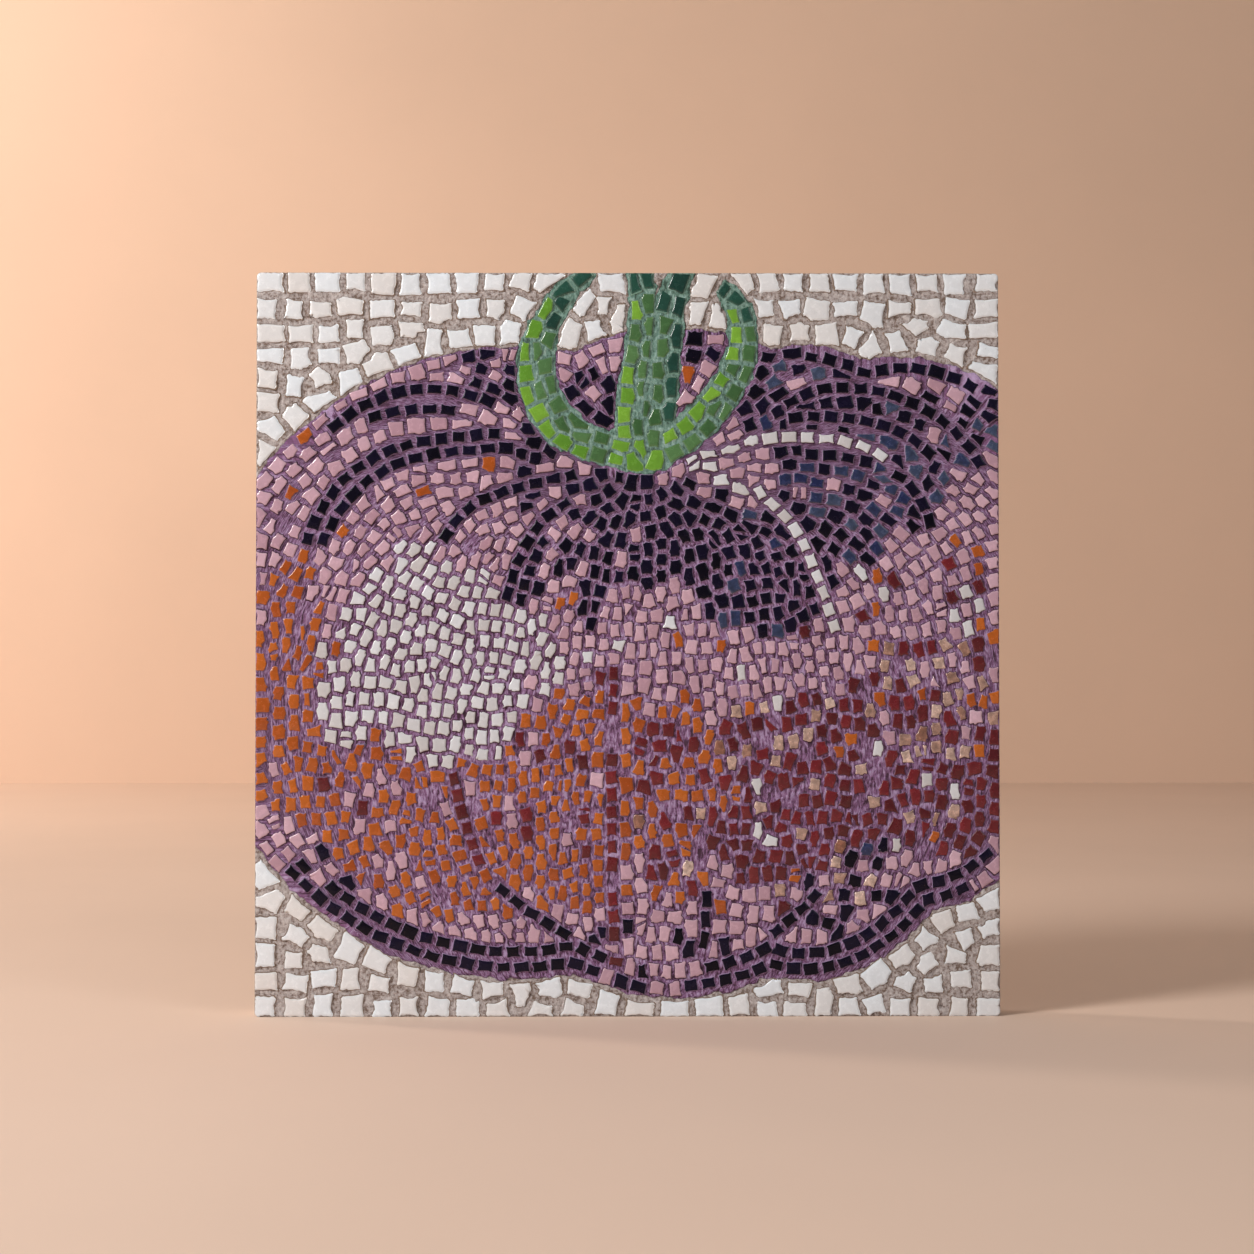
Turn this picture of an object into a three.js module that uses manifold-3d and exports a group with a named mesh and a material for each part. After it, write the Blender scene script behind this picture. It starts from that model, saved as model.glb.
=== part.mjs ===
// A square mosaic panel: a heavy-ribbed fruit with a green calyx on a pale ground.
// Hand-cut tiles stand a little proud of three colours of grout, on a rigid backing board.
// Millimetres, +Z up. The picture faces -Y, and the origin is the middle of the underside.

import * as THREE from "three";
import { mergeVertices } from "three/addons/utils/BufferGeometryUtils.js";
import Module from "manifold-3d";

const wasm = await Module();
wasm.setup();

// Driving dimensions of the panel
const panelWidth = 400;
const panelHeight = 400;
const cornerRadius = 2.5;
const boardThickness = 18;
const groutThickness = 4;
const tileProud = 1.2;
const groutSeam = 0.3;
const tileMargin = 0.8;
const smallestTile = 18;

// Tile sizes: along the course, across it, and the joint that is left between two tiles
const groundTile = { along: 14.8, across: 12.7, joint: 2.4, edgeMargin: 1.2, seed: 11 };
const calyxTile = { along: 11.4, across: 7.7, joint: 1.2, edgeMargin: 1.1, seed: 7 };
const lineTile = { along: 9.6, across: 7.2, joint: 1.3 };
const rimInset = { outer: 6.4, inner: 14.8 };

// How the setter works, in shares of a tile: how far the first places stray, how many rounds the
// tiles settle for, how far a tile reaches to the next, how hard the corners count, how far a cut
// can slant in radians, how small an offcut is still set, and how many corners are nipped
const setting = {
  stray: 0.6,
  rounds: 14,
  cellsInTile: 10,
  reach: 1.6,
  cornerWeight: 0.15,
  roughCut: 0.62,
  slant: 0.22,
  smallestOffcut: 0.3,
  mostCorners: 5,
  cornerShare: 0.07,
};
const chanceWave = { first: 12.9898, second: 78.233, height: 43758.5453 };

// How many steps each curve is drawn in
const steps = { corner: 4, lobe: 54, sepal: 14, nearest: 40, rib: 16, rim: 24, zone: 24 };
const curveTolerance = 0.01;

// The picture fills its panel, so the fruit and calyx are in shares of the panel's width and height.
// Shares across run from the middle, shares up run from the underside.
const fruitLobes = [
  { across: -0.15, up: 0.475, halfWidth: 0.43, halfHeight: 0.425 },
  { across: 0.0625, up: 0.475, halfWidth: 0.375, halfHeight: 0.45 },
  { across: 0.2375, up: 0.475, halfWidth: 0.275, halfHeight: 0.4275 },
  { across: 0.375, up: 0.5125, halfWidth: 0.2625, halfHeight: 0.375 },
];
const sepals = [
  {
    name: "left",
    bend: [[0.0, 0.758], [-0.146, 0.769], [-0.166, 0.923], [-0.047, 1.005]],
    halfWidths: [0.021, 0.027, 0.009],
  },
  {
    name: "middle_left",
    bend: [[0.008, 0.755], [-0.012, 0.842], [0.036, 0.925], [0.014, 1.01]],
    halfWidths: [0.021, 0.019, 0.019],
  },
  {
    name: "middle_right",
    bend: [[0.032, 0.755], [0.053, 0.833], [0.038, 0.943], [0.078, 1.008]],
    halfWidths: [0.021, 0.025, 0.015],
  },
  {
    name: "right",
    bend: [[0.04, 0.758], [0.109, 0.784], [0.206, 0.912], [0.125, 0.982]],
    halfWidths: [0.022, 0.024, 0.013],
  },
];
const calyxHeart = { across: 0.02, up: 0.766, halfWidth: 0.056, halfHeight: 0.037 };

// The fruit's ribs are meridians of a dimpled, tilted body. Its sizes are shares of the panel too.
const body = {
  across: 0.025,
  up: 0.49175,
  halfWidth: 0.5375,
  halfHeight: 0.5,
  dimple: 0.2375,
  dimpleAngle: 40,
  tilt: 22,
  fullness: 0.8,
};

// Lines of tiles that draw the ribs, as angles on that body in degrees: start, middle and end
const ribLines = [
  { name: "shoulder_left_outer", around: [-129, -121, -111], down: [24, 42, 55] },
  { name: "shoulder_left_second", around: [-117, -109, -101], down: [27, 37, 49] },
  { name: "shoulder_left_third", around: [-113, -87, -71], down: [18, 34, 62] },
  { name: "shoulder_left_fourth", around: [-103, -79, -66.5], down: [15, 33, 60] },
  { name: "shoulder_left_inner", around: [-64, -50, -41], down: [12, 26, 47] },
  { name: "front_left", around: [-36, -27, -24], down: [14, 30, 57] },
  { name: "front_light", around: [60, 37, 31], down: [14, 29, 65] },
  { name: "shoulder_right_light", around: [117, 101, 80], down: [14, 22, 33] },
  { name: "shoulder_right_outer", around: [131, 124, 92], down: [22, 37, 54] },
  { name: "shoulder_right_inner", around: [124, 108, 84], down: [20, 29, 42] },
  { name: "shoulder_right_low", around: [92, 76, 60], down: [18, 32, 52] },
  { name: "seam_middle", around: [-5, -5, -5], down: [67, 90, 121] },
  { name: "seam_left", around: [-29, -27, -24], down: [88, 97, 107] },
  { name: "seam_right", around: [9, 9, 9], down: [106, 112, 119] },
  { name: "foot_left", around: [-23, -15, -4], down: [107, 114, 121] },
  { name: "foot_right", around: [27, 19, 11], down: [109, 118, 125] },
];
const rimLines = [
  { name: "rim_shoulder_right", from: 38, to: 62, inset: rimInset.outer },
  { name: "rim_left_outer", from: 211, to: 262, inset: rimInset.outer },
  { name: "rim_left_inner", from: 216, to: 266, inset: rimInset.inner },
  { name: "rim_right_outer", from: 276, to: 324, inset: rimInset.outer },
  { name: "rim_right_inner", from: 280, to: 330, inset: rimInset.inner },
];

// Levels from back to front
const boardBack = (boardThickness + groutThickness + tileProud) / 2;
const boardFront = boardBack - boardThickness;
const groutFront = boardFront - groutThickness;
const tileFront = groutFront - tileProud;

const radians = THREE.MathUtils.degToRad;

function place([across, up]) {
  return new THREE.Vector2(across * panelWidth, up * panelHeight);
}

// A fraction that is always the same for the same two numbers, so that the hand-cut look repeats
function chance(first, second) {
  const angle = first * chanceWave.first + second * chanceWave.second;
  const wave = Math.sin(angle) * chanceWave.height;
  return wave - Math.floor(wave);
}

// Solids

function solid(geometry) {
  const bare = geometry.clone();
  bare.deleteAttribute("normal");
  bare.deleteAttribute("uv");
  const merged = mergeVertices(bare, 1e-4);
  return new wasm.Manifold(
    new wasm.Mesh({
      numProp: 3,
      vertProperties: merged.attributes.position.array,
      triVerts: new Uint32Array(merged.index.array),
    }),
  );
}

function geometryOf(made) {
  const mesh = made.getMesh();
  return new THREE.BufferGeometry()
    .setAttribute("position", new THREE.BufferAttribute(mesh.vertProperties, mesh.numProp))
    .setIndex(new THREE.BufferAttribute(mesh.triVerts, 1))
    .toNonIndexed();
}

// An outline in the picture's plane, as a solid from one level to another in front of it
function slab(outline, back, front) {
  const shape = outline instanceof THREE.Shape ? outline : new THREE.Shape(outline);
  const geometry = new THREE.ExtrudeGeometry(shape, {
    depth: back - front,
    bevelEnabled: false,
    curveSegments: steps.corner,
  });
  geometry.rotateX(Math.PI / 2).translate(0, back, 0);
  return solid(geometry);
}

function panelOutline() {
  const half = panelWidth / 2;
  const round = cornerRadius;
  const outline = new THREE.Shape();
  outline.absarc(half - round, round, round, -Math.PI / 2, 0);
  outline.absarc(half - round, panelHeight - round, round, 0, Math.PI / 2);
  outline.absarc(-half + round, panelHeight - round, round, Math.PI / 2, Math.PI);
  outline.absarc(-half + round, round, round, Math.PI, 1.5 * Math.PI);
  outline.closePath();
  return outline;
}

// The picture's outlines

function ellipse({ across, up, halfWidth, halfHeight }, grow) {
  const centre = place([across, up]);
  const points = [];
  for (let i = 0; i < steps.lobe; i++) {
    const angle = (2 * Math.PI * i) / steps.lobe;
    const x = centre.x + (halfWidth * panelWidth + grow) * Math.cos(angle);
    const z = centre.y + (halfHeight * panelHeight + grow) * Math.sin(angle);
    points.push(new THREE.Vector2(x, z));
  }
  return points;
}

function centreline(sepal) {
  return new THREE.CubicBezierCurve(...sepal.bend.map(place));
}

// The smooth run of a value that is given at the start, the middle and the end
function between([start, middle, end], t) {
  return start * (1 - t) * (1 - 2 * t) + 4 * middle * t * (1 - t) + end * t * (2 * t - 1);
}

function sepalReach(sepal, along) {
  return between(sepal.halfWidths, along) * Math.min(panelWidth, panelHeight);
}

function sepalOutline(sepal, grow) {
  const line = centreline(sepal);
  const left = [];
  const right = [];
  for (let i = 0; i <= steps.sepal; i++) {
    const along = i / steps.sepal;
    const point = line.getPoint(along);
    const tangent = line.getTangent(along);
    const normal = new THREE.Vector2(-tangent.y, tangent.x);
    const reach = sepalReach(sepal, along) + grow;
    left.push(point.clone().addScaledVector(normal, reach));
    right.unshift(point.clone().addScaledVector(normal, -reach));
  }
  return [...left, ...right];
}

function calyxSolid(back, front, grow) {
  let made = slab(ellipse(calyxHeart, grow), back, front);
  for (const sepal of sepals) made = made.add(slab(sepalOutline(sepal, grow), back, front));
  return made;
}

function fruitSolid(back, front, grow) {
  return fruitLobes
    .map((lobe) => slab(ellipse(lobe, grow), back, front))
    .reduce((all, lobe) => all.add(lobe));
}

// How far a point is outside the nearest of some ellipses, and the way out from it
function outsideEllipses(point, ellipses) {
  let nearest = null;
  for (const shape of ellipses) {
    const from = point.clone().sub(place([shape.across, shape.up]));
    const a = shape.halfWidth * panelWidth;
    const b = shape.halfHeight * panelHeight;
    const share = Math.hypot(from.x / a, from.y / b);
    const out = new THREE.Vector2(from.x / a ** 2, from.y / b ** 2).normalize();
    const distance = from.dot(out) * (1 - 1 / share);
    if (!nearest || distance < nearest.distance) nearest = { distance, out };
  }
  return nearest;
}

// The nearest place on a sepal's centreline
const sepalSamples = sepals.map((sepal) => {
  const line = centreline(sepal);
  return Array.from({ length: steps.nearest + 1 }, (_, i) => ({
    at: line.getPoint(i / steps.nearest),
    tangent: line.getTangent(i / steps.nearest),
    halfWidth: sepalReach(sepal, i / steps.nearest),
  }));
});

function nearestOnSepals(point) {
  let nearest = null;
  for (const samples of sepalSamples) {
    for (const sample of samples) {
      const distance = sample.at.distanceTo(point) - sample.halfWidth;
      if (!nearest || distance < nearest.distance) nearest = { ...sample, distance };
    }
  }
  return nearest;
}

// A point at an angle around the fruit and down from its stalk, in the picture's plane
function onBody(around, down) {
  const turn = radians(around);
  const fall = radians(down);
  const dip = body.dimple * Math.exp(-((down / body.dimpleAngle) ** 2));
  const reach = body.halfWidth * Math.sin(fall) ** body.fullness;
  const rise = body.halfHeight * Math.cos(fall) - dip;
  const tilt = radians(body.tilt);
  const across = body.across + reach * Math.sin(turn);
  const up = body.up + rise * Math.cos(tilt) - reach * Math.cos(turn) * Math.sin(tilt);
  return place([across, up]);
}

function ribCurve({ around, down }) {
  const points = [];
  for (let i = 0; i <= steps.rib; i++) {
    points.push(onBody(between(around, i / steps.rib), between(down, i / steps.rib)));
  }
  return new THREE.SplineCurve(points);
}

// The fruit's outline, followed at an inset from it, from one angle around its middle to another
function rimCurve({ from, to, inset }) {
  const points = [];
  const middle = place([body.across, body.up]);
  for (let i = 0; i <= steps.rim; i++) {
    const angle = radians(THREE.MathUtils.lerp(from, to, i / steps.rim));
    const ray = new THREE.Vector2(Math.cos(angle), Math.sin(angle));
    let near = 0;
    let far = panelWidth + panelHeight;
    while (far - near > curveTolerance) {
      const reach = (near + far) / 2;
      const point = middle.clone().addScaledVector(ray, reach);
      if (outsideEllipses(point, fruitLobes).distance < -inset) near = reach;
      else far = reach;
    }
    points.push(middle.clone().addScaledVector(ray, near));
  }
  return new THREE.SplineCurve(points);
}

// Tiles

function area(points) {
  return Math.abs(THREE.ShapeUtils.area(points));
}

// What of a convex outline is behind a line through a point, facing the given way
function trim(points, through, facing) {
  const kept = [];
  points.forEach((point, i) => {
    const next = points[(i + 1) % points.length];
    const here = point.clone().sub(through).dot(facing);
    const there = next.clone().sub(through).dot(facing);
    if (here <= 0) kept.push(point);
    if (here < 0 !== there < 0 && here !== there) {
      kept.push(point.clone().lerp(next, here / (here - there)));
    }
  });
  return kept;
}

function tileBox(centre, along, halfAlong, halfAcross) {
  const across = new THREE.Vector2(-along.y, along.x);
  const corners = [[-1, -1], [1, -1], [1, 1], [-1, 1]];
  return corners.map(([u, v]) =>
    centre
      .clone()
      .addScaledVector(along, u * halfAlong)
      .addScaledVector(across, v * halfAcross),
  );
}

// Packs tiles of one size into a region as a setter does, each turned along its course.
// Every tile moves to the middle of the room that its neighbours leave it, some rounds over.
function packTiles(size, region, courseAt) {
  const sites = [];
  const rows = Math.round(panelHeight / size.across);
  const columns = Math.round(panelWidth / size.along);
  for (let row = 0; row < rows; row++) {
    for (let column = 0; column < columns; column++) {
      const key = row * columns + column;
      const aside = 0.5 + setting.stray * (chance(key, size.seed) - 0.5);
      const upward = 0.5 + setting.stray * (chance(key, -size.seed) - 0.5);
      const x = ((column + aside) / columns - 0.5) * panelWidth;
      const z = ((row + upward) / rows) * panelHeight;
      const site = new THREE.Vector2(x, z);
      if (region(site)) sites.push(site);
    }
  }
  const cell = size.across / setting.cellsInTile;
  const reach = size.along * setting.reach;
  const wide = Math.ceil(panelWidth / cell);
  const tall = Math.ceil(panelHeight / cell);
  const open = new Uint8Array(wide * tall);
  const spot = new THREE.Vector2();
  const toSpot = (i, j) => spot.set((i + 0.5) * cell - panelWidth / 2, (j + 0.5) * cell);
  for (let j = 0; j < tall; j++) {
    for (let i = 0; i < wide; i++) open[j * wide + i] = region(toSpot(i, j)) ? 1 : 0;
  }
  for (let round = 0; round < setting.rounds; round++) {
    const best = new Float32Array(wide * tall).fill(Infinity);
    const owner = new Int32Array(wide * tall).fill(-1);
    sites.forEach((site, n) => {
      const course = courseAt(site);
      const left = Math.max(0, Math.floor((site.x - reach + panelWidth / 2) / cell));
      const right = Math.min(wide - 1, Math.ceil((site.x + reach + panelWidth / 2) / cell));
      const low = Math.max(0, Math.floor((site.y - reach) / cell));
      const high = Math.min(tall - 1, Math.ceil((site.y + reach) / cell));
      for (let j = low; j <= high; j++) {
        for (let i = left; i <= right; i++) {
          if (!open[j * wide + i]) continue;
          const away = toSpot(i, j).sub(site);
          const u = Math.abs(away.dot(course)) / size.along;
          const v = Math.abs(away.cross(course)) / size.across;
          const far = Math.max(u, v) + setting.cornerWeight * Math.min(u, v);
          if (far < best[j * wide + i]) {
            best[j * wide + i] = far;
            owner[j * wide + i] = n;
          }
        }
      }
    });
    const sums = sites.map(() => ({ x: 0, z: 0, count: 0 }));
    owner.forEach((n, index) => {
      if (n < 0) return;
      const at = toSpot(index % wide, Math.floor(index / wide));
      sums[n].x += at.x;
      sums[n].z += at.y;
      sums[n].count += 1;
    });
    sums.forEach((sum, n) => {
      if (sum.count) sites[n].set(sum.x / sum.count, sum.z / sum.count);
    });
  }
  return sites;
}

// Cuts each packed tile to shape against its neighbours, half a joint back from the line between
function cutTiles(sites, size, courseAt, edgesAt) {
  const courses = sites.map(courseAt);
  const smallest = setting.smallestOffcut * size.along * size.across;
  const halfAlong = setting.roughCut * size.along;
  const halfAcross = setting.roughCut * size.across;
  const tiles = [];
  sites.forEach((site, n) => {
    const along = courses[n];
    const across = new THREE.Vector2(-along.y, along.x);
    let tile = tileBox(site, along, halfAlong, halfAcross);
    sites.forEach((other, m) => {
      const way = other.clone().sub(site);
      if (m === n || way.length() > setting.reach * size.along) return;
      const u = way.dot(along) / size.along;
      const v = way.dot(across) / size.across;
      const axis = Math.abs(u) > Math.abs(v) ? along.clone() : across.clone();
      if (axis.dot(way) < 0) axis.negate();
      const slant = (chance(Math.min(n, m), Math.max(n, m)) - 0.5) * setting.slant;
      const facing = axis.add(way.clone().normalize()).normalize();
      facing.rotateAround(new THREE.Vector2(), slant);
      const through = site.clone().lerp(other, 0.5).addScaledVector(facing, -size.joint / 2);
      tile = trim(tile, through, facing);
    });
    for (const { through, facing } of edgesAt(site)) tile = trim(tile, through, facing);
    if (tile.length > 2 && area(tile) > smallest) tiles.push(tidy(tile));
  });
  return tiles;
}

// Leaves out the corners that matter least: a tile nipped by hand has four or five
function tidy(points) {
  const kept = [...points];
  while (kept.length > 4) {
    const lost = kept.map((point, i) => {
      const before = kept.at(i - 1);
      const after = kept[(i + 1) % kept.length];
      return area([before, point, after]);
    });
    const least = Math.min(...lost);
    const few = kept.length <= setting.mostCorners;
    if (few && least > setting.cornerShare * area(kept)) break;
    kept.splice(lost.indexOf(least), 1);
  }
  return kept;
}

function panelEdges() {
  const half = panelWidth / 2;
  return [
    { through: new THREE.Vector2(half, 0), facing: new THREE.Vector2(1, 0) },
    { through: new THREE.Vector2(-half, 0), facing: new THREE.Vector2(-1, 0) },
    { through: new THREE.Vector2(0, 0), facing: new THREE.Vector2(0, -1) },
    { through: new THREE.Vector2(0, panelHeight), facing: new THREE.Vector2(0, 1) },
  ];
}

// Ground tiles run level, and turn to follow the fruit and the calyx where they come close
function groundTiles() {
  const turnWithin = setting.reach * groundTile.across;
  const fruitAway = (point) => outsideEllipses(point, fruitLobes);
  const calyxAway = (point) => nearestOnSepals(point);
  const region = (point) =>
    fruitAway(point).distance > groundTile.edgeMargin &&
    calyxAway(point).distance > groundTile.edgeMargin;
  const courseAt = (point) => {
    const fruit = fruitAway(point);
    const sepal = calyxAway(point);
    if (sepal.distance < fruit.distance && sepal.distance < turnWithin) return sepal.tangent;
    if (fruit.distance > turnWithin) return new THREE.Vector2(1, 0);
    return new THREE.Vector2(fruit.out.y, -fruit.out.x);
  };
  const edgesAt = (point) => {
    const fruit = fruitAway(point);
    const sepal = calyxAway(point);
    const out = point.clone().sub(sepal.at).normalize();
    const side = (away, facing) => ({
      through: point.clone().addScaledVector(facing, away.distance - groundTile.edgeMargin),
      facing,
    });
    return [
      ...panelEdges(),
      side(fruit, fruit.out.clone().negate()),
      side(sepal, out.negate()),
    ];
  };
  const sites = packTiles(groundTile, region, courseAt);
  return cutTiles(sites, groundTile, courseAt, edgesAt);
}

// Calyx tiles run along their sepal, side by side
function calyxTiles() {
  const inside = (point) => nearestOnSepals(point);
  const region = (point) => inside(point).distance < -calyxTile.edgeMargin;
  const courseAt = (point) => inside(point).tangent;
  const edgesAt = (point) => {
    const sepal = inside(point);
    const side = new THREE.Vector2(-sepal.tangent.y, sepal.tangent.x);
    const reach = sepal.halfWidth - calyxTile.edgeMargin;
    return [
      ...panelEdges(),
      { through: sepal.at.clone().addScaledVector(side, reach), facing: side },
      { through: sepal.at.clone().addScaledVector(side, -reach), facing: side.clone().negate() },
    ];
  };
  const sites = packTiles(calyxTile, region, courseAt);
  return cutTiles(sites, calyxTile, courseAt, edgesAt);
}

// Tiles set end to end along a line that draws a rib or the rim
function lineTiles(curve, line) {
  const count = Math.max(2, Math.round(curve.getLength() / lineTile.along));
  const tiles = [];
  for (let i = 0; i < count; i++) {
    const centre = curve.getPointAt((i + 0.5) / count);
    const along = curve.getTangentAt((i + 0.5) / count);
    const sepal = nearestOnSepals(centre);
    const clear = lineTile.across / 2 + groutSeam;
    const edge = outsideEllipses(centre, fruitLobes).distance + clear;
    const inPanel = Math.abs(centre.x) < panelWidth / 2 - clear;
    if (sepal.distance < clear || edge > 0 || !inPanel) continue;
    const halfAlong = (curve.getLength() / count - lineTile.joint) / 2;
    const halfAcross = (lineTile.across - lineTile.joint * chance(line, i)) / 2;
    tiles.push(tileBox(centre, along, halfAlong, halfAcross));
  }
  return tiles;
}

// Keeps the tiles of the lines that don't run into a tile of an earlier line
function fruitTiles() {
  const kept = [];
  const centres = [];
  const curves = [...rimLines.map(rimCurve), ...ribLines.map(ribCurve)];
  curves.forEach((curve, n) => {
    for (const tile of lineTiles(curve, n)) {
      const centre = tile[0].clone().lerp(tile[2], 0.5);
      const clear = centres.every((other) => other.distanceTo(centre) > lineTile.across);
      if (!clear) continue;
      kept.push(tile);
      centres.push(centre);
    }
  });
  return kept;
}

// Zones of the picture between the sepals' centrelines, wide enough to part one field from the next

function zoneBetween(left, right) {
  const above = 2 * panelHeight;
  const split = place([0, body.up]).y;
  const run = (sepal) => centreline(sepal).getPoints(steps.zone);
  const raised = (point) => new THREE.Vector2(point.x, above);
  const start = left ? run(left) : [];
  const end = right ? run(right).reverse() : [];
  const corners = [];
  if (left) corners.push(...start, raised(start.at(-1)));
  else corners.push(new THREE.Vector2(-panelWidth, split), new THREE.Vector2(-panelWidth, above));
  if (right) corners.push(raised(end[0]), ...end);
  else corners.push(new THREE.Vector2(panelWidth, above), new THREE.Vector2(panelWidth, split));
  return slab(corners, boardFront, tileFront);
}

const [leftSepal, middleLeft, middleRight, rightSepal] = sepals;
const gapLeft = zoneBetween(leftSepal, middleLeft);
const gapRight = zoneBetween(middleRight, rightSepal);
const groundZones = {
  bottom: lowerHalf(),
  top_left: zoneBetween(null, leftSepal),
  gap_left: gapLeft,
  gap_middle: zoneBetween(middleLeft, middleRight),
  top_right: zoneBetween(middleRight, null),
};

function lowerHalf() {
  const split = place([0, body.up]).y - groutSeam;
  const corners = [
    new THREE.Vector2(-panelWidth, -panelHeight),
    new THREE.Vector2(panelWidth, -panelHeight),
    new THREE.Vector2(panelWidth, split),
    new THREE.Vector2(-panelWidth, split),
  ];
  return slab(corners, boardFront, tileFront);
}

// The grout field of a region, with its tiles set in it and standing proud.
// A tile that would reach into the next field is cut back, and is left out if little remains.
function field(region, tiles) {
  const outline = panelOutline();
  const seated = (groutFront + boardFront) / 2;
  const room = region(slab(outline, seated, tileFront), seated, tileFront, tileMargin);
  const smallest = smallestTile * (seated - tileFront);
  const set = tiles
    .map((tile) => slab(tile, seated, tileFront).intersect(room))
    .filter((tile) => tile.volume() > smallest)
    .reduce((all, tile) => all.add(tile));
  return region(slab(outline, boardFront, groutFront), boardFront, groutFront, 0).add(set);
}

const ground = field(
  (all, back, front, margin) =>
    all
      .subtract(fruitSolid(back, front, groutSeam + margin))
      .subtract(calyxSolid(back, front, groutSeam + margin)),
  groundTiles(),
);
const fruit = field(
  (all, back, front, margin) =>
    all
      .intersect(fruitSolid(back, front, -margin))
      .subtract(calyxSolid(back, front, groutSeam + margin)),
  fruitTiles(),
);
const calyx = field(
  (all, back, front, margin) => all.intersect(calyxSolid(back, front, -margin)),
  calyxTiles(),
);

// Materials
const colours = {
  board: new THREE.MeshStandardMaterial({ color: 0xb9ab98, roughness: 0.9, metalness: 0 }),
  ground: new THREE.MeshStandardMaterial({ color: 0xdedbd8, roughness: 0.35, metalness: 0 }),
  fruit: new THREE.MeshStandardMaterial({ color: 0x7a5a86, roughness: 0.6, metalness: 0 }),
  calyx: new THREE.MeshStandardMaterial({ color: 0x5a9a50, roughness: 0.4, metalness: 0 }),
};

const panel = new THREE.Group();

function addPiece(name, made, material) {
  const mesh = new THREE.Mesh(geometryOf(made), material);
  mesh.name = name;
  panel.add(mesh);
}

addPiece("backing_board", slab(panelOutline(), boardBack, boardFront), colours.board);
for (const [zone, cutter] of Object.entries(groundZones)) {
  addPiece(`ground_${zone}`, ground.intersect(cutter), colours.ground);
}
addPiece("fruit", fruit.subtract(gapLeft).subtract(gapRight), colours.fruit);
addPiece("fruit_gap_left", fruit.intersect(gapLeft), colours.fruit);
addPiece("fruit_gap_right", fruit.intersect(gapRight), colours.fruit);
addPiece("calyx", calyx, colours.calyx);

export default panel;
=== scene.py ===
# A square mosaic panel, standing upright on a pale floor.
# The picture, in hand-cut tiles and coloured grout, is a heavy-ribbed fruit with a green calyx.
# Metres, +Z up, the picture faces -Y, and the origin is the middle of the underside.

import math

import bpy
import numpy as np
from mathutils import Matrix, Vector
from mathutils.geometry import delaunay_2d_cdt


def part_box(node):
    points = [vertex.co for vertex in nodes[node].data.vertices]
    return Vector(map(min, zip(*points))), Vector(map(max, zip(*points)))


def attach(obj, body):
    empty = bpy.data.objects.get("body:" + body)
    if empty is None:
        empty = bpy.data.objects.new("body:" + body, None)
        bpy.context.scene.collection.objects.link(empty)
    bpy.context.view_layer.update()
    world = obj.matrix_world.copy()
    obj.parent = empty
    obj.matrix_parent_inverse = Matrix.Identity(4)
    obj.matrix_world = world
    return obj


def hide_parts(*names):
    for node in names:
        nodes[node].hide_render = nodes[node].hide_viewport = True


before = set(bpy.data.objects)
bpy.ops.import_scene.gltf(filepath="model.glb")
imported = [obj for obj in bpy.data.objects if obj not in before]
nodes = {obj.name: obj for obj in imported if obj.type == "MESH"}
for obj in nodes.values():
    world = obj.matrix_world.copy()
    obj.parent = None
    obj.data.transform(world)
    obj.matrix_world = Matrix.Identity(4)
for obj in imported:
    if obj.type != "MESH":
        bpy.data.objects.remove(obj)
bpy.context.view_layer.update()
mm = 0.001

# The panel's levels, from the fixed solids: the board's two faces, the grout's face and the tiles'.
board_low, board_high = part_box("backing_board")
board_front = board_low.y
board_back = board_high.y
panel_half = board_high.x
panel_width = 2 * panel_half
panel_top = board_high.z
corner_radius = 2.5 * mm
tile_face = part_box("calyx")[0].y
bedding_depth, mosaic_depth = 4, 5.2
grout_face = board_front + (tile_face - board_front) * bedding_depth / mosaic_depth
tile_seat = grout_face + 0.6 * mm


# BACKING BOARD
# A rigid sheet, cut square, with the four edges skimmed in the pale grout by trowel.
# The back is the bare sheet, sealed with one thin coat.

edge_step = 2.2 * mm
edge_waver = 0.22 * mm
edge_arris = 0.7 * mm


def cloud(x, z, grain, seed):
    """Smooth random hills from 0 to 1 with the given grain."""
    size = 256
    lattice = np.random.default_rng(seed).random((size, size))
    u, v = np.asarray(x) / grain + 1000.5, np.asarray(z) / grain + 1000.5
    i, j = np.floor(u).astype(int), np.floor(v).astype(int)
    s, t = u - i, v - j
    s, t = s * s * (3 - 2 * s), t * t * (3 - 2 * t)
    i0, i1, j0, j1 = i % size, (i + 1) % size, j % size, (j + 1) % size
    low = lattice[i0, j0] * (1 - s) + lattice[i1, j0] * s
    high = lattice[i0, j1] * (1 - s) + lattice[i1, j1] * s
    return low * (1 - t) + high * t


def placed(name, data):
    item = bpy.data.objects.new(name, data)
    bpy.context.scene.collection.objects.link(item)
    return item


def add_piece(name, vertices, faces, smooth=False):
    mesh = bpy.data.meshes.new(name)
    mesh.from_pydata(vertices, [], faces)
    mesh.validate()
    mesh.polygons.foreach_set("use_smooth", [smooth] * len(mesh.polygons))
    return placed(name, mesh)


def feed(tree, node, inputs):
    """Sets a node's inputs, by name or number, to a value or to the output that feeds them."""
    for key, value in inputs.items():
        socket = node.inputs[key.replace("_", " ") if isinstance(key, str) else key]
        if isinstance(value, bpy.types.NodeSocket):
            tree.links.new(value, socket)
        elif value is not None:
            socket.default_value = value


def add_node(tree, kind, place, settings=None, *numbered, **named):
    node = tree.nodes.new(kind)
    node.location = place
    for key, value in (settings or {}).items():
        setattr(node, key, value)
    feed(tree, node, dict(enumerate(numbered)))
    feed(tree, node, named)
    return node


def new_material(name):
    material = bpy.data.materials.new(name)
    material.use_nodes = True
    return material, material.node_tree, material.node_tree.nodes["Principled BSDF"]


def object_place(tree, place):
    return add_node(tree, "ShaderNodeTexCoord", place).outputs["Object"]


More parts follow.
